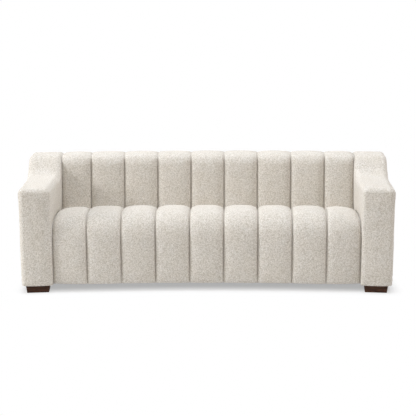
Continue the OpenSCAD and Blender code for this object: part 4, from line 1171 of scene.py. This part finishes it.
# ease is what a sheet is cut larger by, along and across
dustCover = {
    "front": 0.0455, "rear": 0.8380, "inset": 0.0125,
    "columns": 120, "thickness": 0.001, "sag": 0.0022, "ease": (1.001, 1.001),
    "material": dustCloth, "slot": "dust_cloth", "node": "dust_cover", "restsOn": ["front_rail", "back_sill"],
}
deck = {
    "front": 0.0455, "rear": sofa["ribFace"] - clearance, "height": 0.2812,
    "columns": 110, "thickness": 0.0014, "sag": 0.001, "ease": (1.001, 1.001),
    "material": deckCloth, "slot": "deck_cloth", "node": "seat_deck", "restsOn": ["front_rail", "rear_rail"],
}
webbing = {
    "width": 0.050,
    "places": (0.1, 0.37, 0.64, 0.91),   # lower edges, as shares of the way up the ribs
    "topBoard": 0.0183,                  # thickness with its clearance
    "ribGap": 0.0029,                    # from the back foam to the ribs
    "columns": 120, "thickness": 0.0018, "sag": 0.0, "ease": (1.001, 1.05),
    "material": webbingCloth, "slot": "webbing", "node": "back_webbing",
    "restsOn": ["back_rib_1", "back_rib_3", "back_rib_5"],
}


def buildSheets():
    arcSheet("dustCover", np.linspace(dustCover["front"], dustCover["rear"], 40), sofa["footHeight"],
             lambda d: outerLineAngle(d, dustCover["inset"]), dustCover)
    arcSheet("deckCloth", np.linspace(deck["front"], deck["rear"], 40), deck["height"], armLineAngle, deck)
    # the bands follow the lean of the back, and are spread over the leaning part of the ribs
    knee = kneeHeight(sofa["ribFace"] + clearance, foamFace + webbing["ribGap"])
    boardLow = backTop - sofa["backFill"] - webbing["topBoard"] - clearance
    span = boardLow - webbing["width"] - knee
    for k, share in enumerate(webbing["places"]):
        low = knee + span * share
        z = np.linspace(low, low + webbing["width"] * math.cos(sofa["backLean"]), 7)
        arcSheet(f"backWebbing{k + 1}", behindBack(z, foamFace + 2 * clearance), z, armLineAngle, webbing)


buildSheets()


# sinuous springs: round wire bent to and fro, each turned to its own place on the curve

springs = {
    "Count": 12,
    "Width": 0.052,
    "Wire": 0.004,
    "Start": 0.0543,         # depths of the two ends, in the folds of the clips
    "End": 0.6280,
    "Height": 0.2753,
    "Waves": 15,
    "Turn Steps": 9,
    "Half Angle": float(armLineAngle(wallFill + clearance)),
    "Radius": sofa["curveRadius"],
    "Centre Y": centerY,
}


def springRule():
    tree, given = newRule("sinuous springs", springs)
    steps = addNode(tree, "ShaderNodeMath", {
        0: given["Waves"], 1: given["Turn Steps"]}, operation="MULTIPLY")
    line = addNode(tree, "GeometryNodeMeshLine", {"Count": steps})
    wire = addNode(tree, "GeometryNodeMeshToCurve", {"Mesh": line})
    index = addNode(tree, "GeometryNodeInputIndex")
    turns = addNode(tree, "ShaderNodeMath", {0: index, 1: given["Turn Steps"]}, operation="DIVIDE")
    wave = addNode(tree, "ShaderNodeMath", {0: turns}, operation="FLOOR")
    step = addNode(tree, "ShaderNodeMath", {0: index, 1: given["Turn Steps"]}, operation="MODULO")
    lastStep = addNode(tree, "ShaderNodeMath", {0: given["Turn Steps"], 1: 1.0}, operation="SUBTRACT")
    bend = addNode(tree, "ShaderNodeMapRange", {
        "Value": step, "From Max": lastStep, "To Min": -math.pi / 2, "To Max": math.pi / 2})
    odd = addNode(tree, "ShaderNodeMath", {0: wave, 1: 2.0}, operation="MODULO")
    side = addNode(tree, "ShaderNodeMapRange", {"Value": odd, "To Min": 1.0, "To Max": -1.0})
    length = addNode(tree, "ShaderNodeMath", {0: given["End"], 1: given["Start"]}, operation="SUBTRACT")
    pitch = addNode(tree, "ShaderNodeMath", {0: length, 1: given["Waves"]}, operation="DIVIDE")
    loop = addNode(tree, "ShaderNodeMath", {0: pitch, 1: 0.5}, operation="MULTIPLY")
    halfWidth = addNode(tree, "ShaderNodeMath", {0: given["Width"], 1: 0.5}, operation="MULTIPLY")
    straight = addNode(tree, "ShaderNodeMath", {0: halfWidth, 1: loop}, operation="SUBTRACT")
    cosine = addNode(tree, "ShaderNodeMath", {0: bend}, operation="COSINE")
    sine = addNode(tree, "ShaderNodeMath", {0: bend}, operation="SINE")
    out = addNode(tree, "ShaderNodeMath", {0: cosine, 1: loop, 2: straight}, operation="MULTIPLY_ADD")
    x = addNode(tree, "ShaderNodeMath", {0: out, 1: side}, operation="MULTIPLY")
    middleWave = addNode(tree, "ShaderNodeMath", {0: wave, 1: 0.5}, operation="ADD")
    depth = addNode(tree, "ShaderNodeMath", {
        0: middleWave, 1: pitch, 2: given["Start"]}, operation="MULTIPLY_ADD")
    along = addNode(tree, "ShaderNodeMath", {0: sine, 1: loop, 2: depth}, operation="MULTIPLY_ADD")
    y = addNode(tree, "ShaderNodeMath", {0: along, 1: given["Radius"]}, operation="ADD")
    path = addNode(tree, "ShaderNodeCombineXYZ", {0: x, 1: y})
    shaped = addNode(tree, "GeometryNodeSetPosition", {"Geometry": wire, "Position": path})
    wireRadius = addNode(tree, "ShaderNodeMath", {0: given["Wire"], 1: 0.5}, operation="MULTIPLY")
    ring = addNode(tree, "GeometryNodeCurvePrimitiveCircle", {"Resolution": 8, "Radius": wireRadius})
    spring = addNode(tree, "GeometryNodeCurveToMesh", {
        "Curve": shaped, "Profile Curve": ring, "Fill Caps": True})
    start = addNode(tree, "ShaderNodeCombineXYZ", {1: given["Centre Y"], 2: given["Height"]})
    spots = addNode(tree, "GeometryNodeMeshLine", {
        "Count": given["Count"], "Start Location": start, "Offset": (0, 0, 0)})
    place = addNode(tree, "ShaderNodeMath", {0: index, 1: 0.5}, operation="ADD")
    share = addNode(tree, "ShaderNodeMapRange", {
        "Value": place, "From Max": given["Count"], "To Min": 1.0, "To Max": -1.0}, clamp=False)
    turn = addNode(tree, "ShaderNodeMath", {0: share, 1: given["Half Angle"]}, operation="MULTIPLY")
    spin = addNode(tree, "ShaderNodeCombineXYZ", {2: turn})
    copies = addNode(tree, "GeometryNodeInstanceOnPoints", {
        "Points": spots, "Instance": spring, "Rotation": spin})
    endRule(tree, given, copies)
    return tree


settle(growPiece("seatSprings", springRule(), springs, springSteel), "spring_steel", "seat_springs")


# bent wire or thread at even steps along a path: stitches in the seams, staples in the dust cover

seamStitch = {"Pitch": 0.0052, "Length": 0.0040, "Thickness": 0.0008, "Dip": 0.0010, "Skew": 0.06, "Seed": 3}
slipStitch = {"Pitch": 0.011, "Length": 0.0055, "Thickness": 0.0009, "Dip": 0.0012, "Skew": 0.08, "Seed": 7}
staple = {"Pitch": 0.045, "Length": 0.0100, "Thickness": 0.0011, "Dip": 0.0025, "Skew": 0.14, "Seed": 11}


def stitchRule():
    tree, given = newRule("stitches along a path", seamStitch)
    curve = addNode(tree, "GeometryNodeMeshToCurve", {"Mesh": given["Base"]})
    even = addNode(tree, "GeometryNodeResampleCurve", {
        "Curve": curve, "Length": given["Pitch"]}, mode="LENGTH")
    outward = addNode(tree, "GeometryNodeInputNamedAttribute", {
        "Name": "outward"}, data_type="FLOAT_VECTOR")
    upright = addNode(tree, "FunctionNodeAlignRotationToVector", {"Vector": outward}, axis="Z")
    tangent = addNode(tree, "GeometryNodeInputTangent")
    aligned = addNode(tree, "FunctionNodeAlignRotationToVector", {
        "Rotation": upright, "Vector": tangent}, axis="X", pivot_axis="Z")
    leastSkew = addNode(tree, "ShaderNodeMath", {0: given["Skew"], 1: -1.0}, operation="MULTIPLY")
    skew = addNode(tree, "FunctionNodeRandomValue", {
        2: leastSkew, 3: given["Skew"], "Seed": given["Seed"]}, data_type="FLOAT")
    twist = addNode(tree, "ShaderNodeCombineXYZ", {2: skew.outputs[1]})
    turned = addNode(tree, "FunctionNodeRotateRotation", {
        "Rotation": aligned, "Rotate By": twist}, rotation_space="LOCAL")
    thread = addNode(tree, "GeometryNodeMeshLine", {"Count": 6})
    bare = addNode(tree, "GeometryNodeMeshToCurve", {"Mesh": thread})
    index = addNode(tree, "GeometryNodeInputIndex")
    share = addNode(tree, "ShaderNodeMapRange", {"Value": index, "From Max": 5.0, "To Min": -1.0})
    halfLength = addNode(tree, "ShaderNodeMath", {0: given["Length"], 1: 0.5}, operation="MULTIPLY")
    x = addNode(tree, "ShaderNodeMath", {0: share, 1: halfLength}, operation="MULTIPLY")
    steep = addNode(tree, "ShaderNodeMath", {0: share, 1: 4.0}, operation="POWER")
    down = addNode(tree, "ShaderNodeMath", {0: steep, 1: given["Dip"]}, operation="MULTIPLY")
    z = addNode(tree, "ShaderNodeMath", {0: down, 1: -1.0}, operation="MULTIPLY")
    bow = addNode(tree, "ShaderNodeCombineXYZ", {0: x, 2: z})
    bowed = addNode(tree, "GeometryNodeSetPosition", {"Geometry": bare, "Position": bow})
    radius = addNode(tree, "ShaderNodeMath", {0: given["Thickness"], 1: 0.5}, operation="MULTIPLY")
    ring = addNode(tree, "GeometryNodeCurvePrimitiveCircle", {"Resolution": 5, "Radius": radius})
    stitch = addNode(tree, "GeometryNodeCurveToMesh", {
        "Curve": bowed, "Profile Curve": ring, "Fill Caps": True})
    copies = addNode(tree, "GeometryNodeInstanceOnPoints", {
        "Points": even, "Instance": stitch, "Rotation": turned})
    endRule(tree, given, copies)
    return tree


# runs are pairs of points and the directions that they face
def pathMesh(name, runs):
    points, normals, edges = [], [], []
    for run, facing in runs:
        base = len(points)
        points += [tuple(p) for p in run]
        normals += [tuple(n) for n in facing]
        edges += [(base + k, base + k + 1) for k in range(len(run) - 1)]
    mesh = bpy.data.meshes.new(name)
    mesh.from_pydata(points, edges, [])
    outward = mesh.attributes.new("outward", "FLOAT_VECTOR", "POINT")
    outward.data.foreach_set("vector", np.array(normals, np.float32).ravel())
    return mesh


threadLift = 0.0004          # middle of the thread over the bottom of the seam
edgeStitching = {
    "inset": 0.005,          # from the hems of the outer back
    "sideMargin": 0.0006,    # radians, from its sides
}
stapling = {
    "front": 0.056, "rear": 0.828, "inset": 0.024, "height": 0.0476,
    "cornerGap": 0.010,      # left between the rows at the sides and those at the front and rear
}


def seamRuns(grid, q, rows):
    runs = []
    for k in np.nonzero(seamDistance(q) < 1e-6)[0][1:-1]:
        run = grid[k, rows]
        along = np.gradient(run, axis=0)
        facing = np.cross(grid[k + 1, rows] - grid[k - 1, rows], along)
        facing /= np.linalg.norm(facing, axis=1, keepdims=True)
        runs.append((run + facing * threadLift, facing))
    return runs


def buildStitches():
    rule = stitchRule()
    q = channelPlaces()
    # rows of the covers over which their seams show
    for name, grid, rows in (("seat", seatGrid, slice(3, 90)), ("back", backGrid, slice(3, 62))):
        path = pathMesh(name + "Seams", seamRuns(grid, q, rows))
        settle(growPiece(name + "SeamStitches", rule, seamStitch, threadPolyester, path), "boucle")
    # slip stitches round the outer back, just inside its edge
    inset, edge = edgeStitching["inset"], outerBack["Half Angle"] - edgeStitching["sideMargin"]
    deep = sofa["depth"] + clearance
    high, low = outerBack["High"] - inset, outerBack["Low"] + inset
    a = np.linspace(-edge, edge, 160)
    across = np.stack([np.sin(a), np.cos(a), 0 * a], 1)
    z = np.linspace(low, high, 60)
    runs = [(curvePoint(a, deep, high), across)]
    for end in (0, -1):
        runs.append((curvePoint(a[end], deep, z), np.broadcast_to(across[end], (len(z), 3))))
    path = pathMesh("outerBackEdge", runs)
    settle(growPiece("outerBackStitches", rule, slipStitch, threadPolyester, path), "boucle")
    # staples that hold the dust cover, crowns along its edge
    front, rear, height = stapling["front"], stapling["rear"], stapling["height"]
    lines = [curvePoint(np.linspace(-1, 1, 120) * outerLineAngle(d, stapling["inset"]), d, height)
             for d in (front, rear)]
    d = np.linspace(front + stapling["cornerGap"], rear - stapling["cornerGap"], 50)
    lines += [curvePoint(side * outerLineAngle(d, stapling["inset"]), d, height) for side in (-1, 1)]
    path = pathMesh("dustCoverEdge", [(line, np.broadcast_to((0, 0, -1), line.shape)) for line in lines])
    settle(growPiece("dustCoverStaples", rule, staple, zincSteel, path), "zinc_steel")


buildStitches()
print("sheets, springs and stitches ready")


# finishes of the frame parts that the model brings

finishes = {
    "foot_wood": footWood, "glide_nylon": glideNylon, "zinc_steel": zincSteel, "spring_steel": springSteel,
    "tie_wire": tieWire, "frame_wood": frameWood, "plywood": plywood, "fibreboard": fibreboard,
    "webbing": webbingCloth, "foam": deckCloth, "boucle": boucle, "deck_cloth": deckCloth,
    "dust_cloth": dustCloth,
}
for part in frame["record"]["subparts"]:
    mesh = nodes[part["node"]].data
    mesh.materials.clear()
    mesh.materials.append(finishes[part["material_slot"]])
print("frame parts finished")
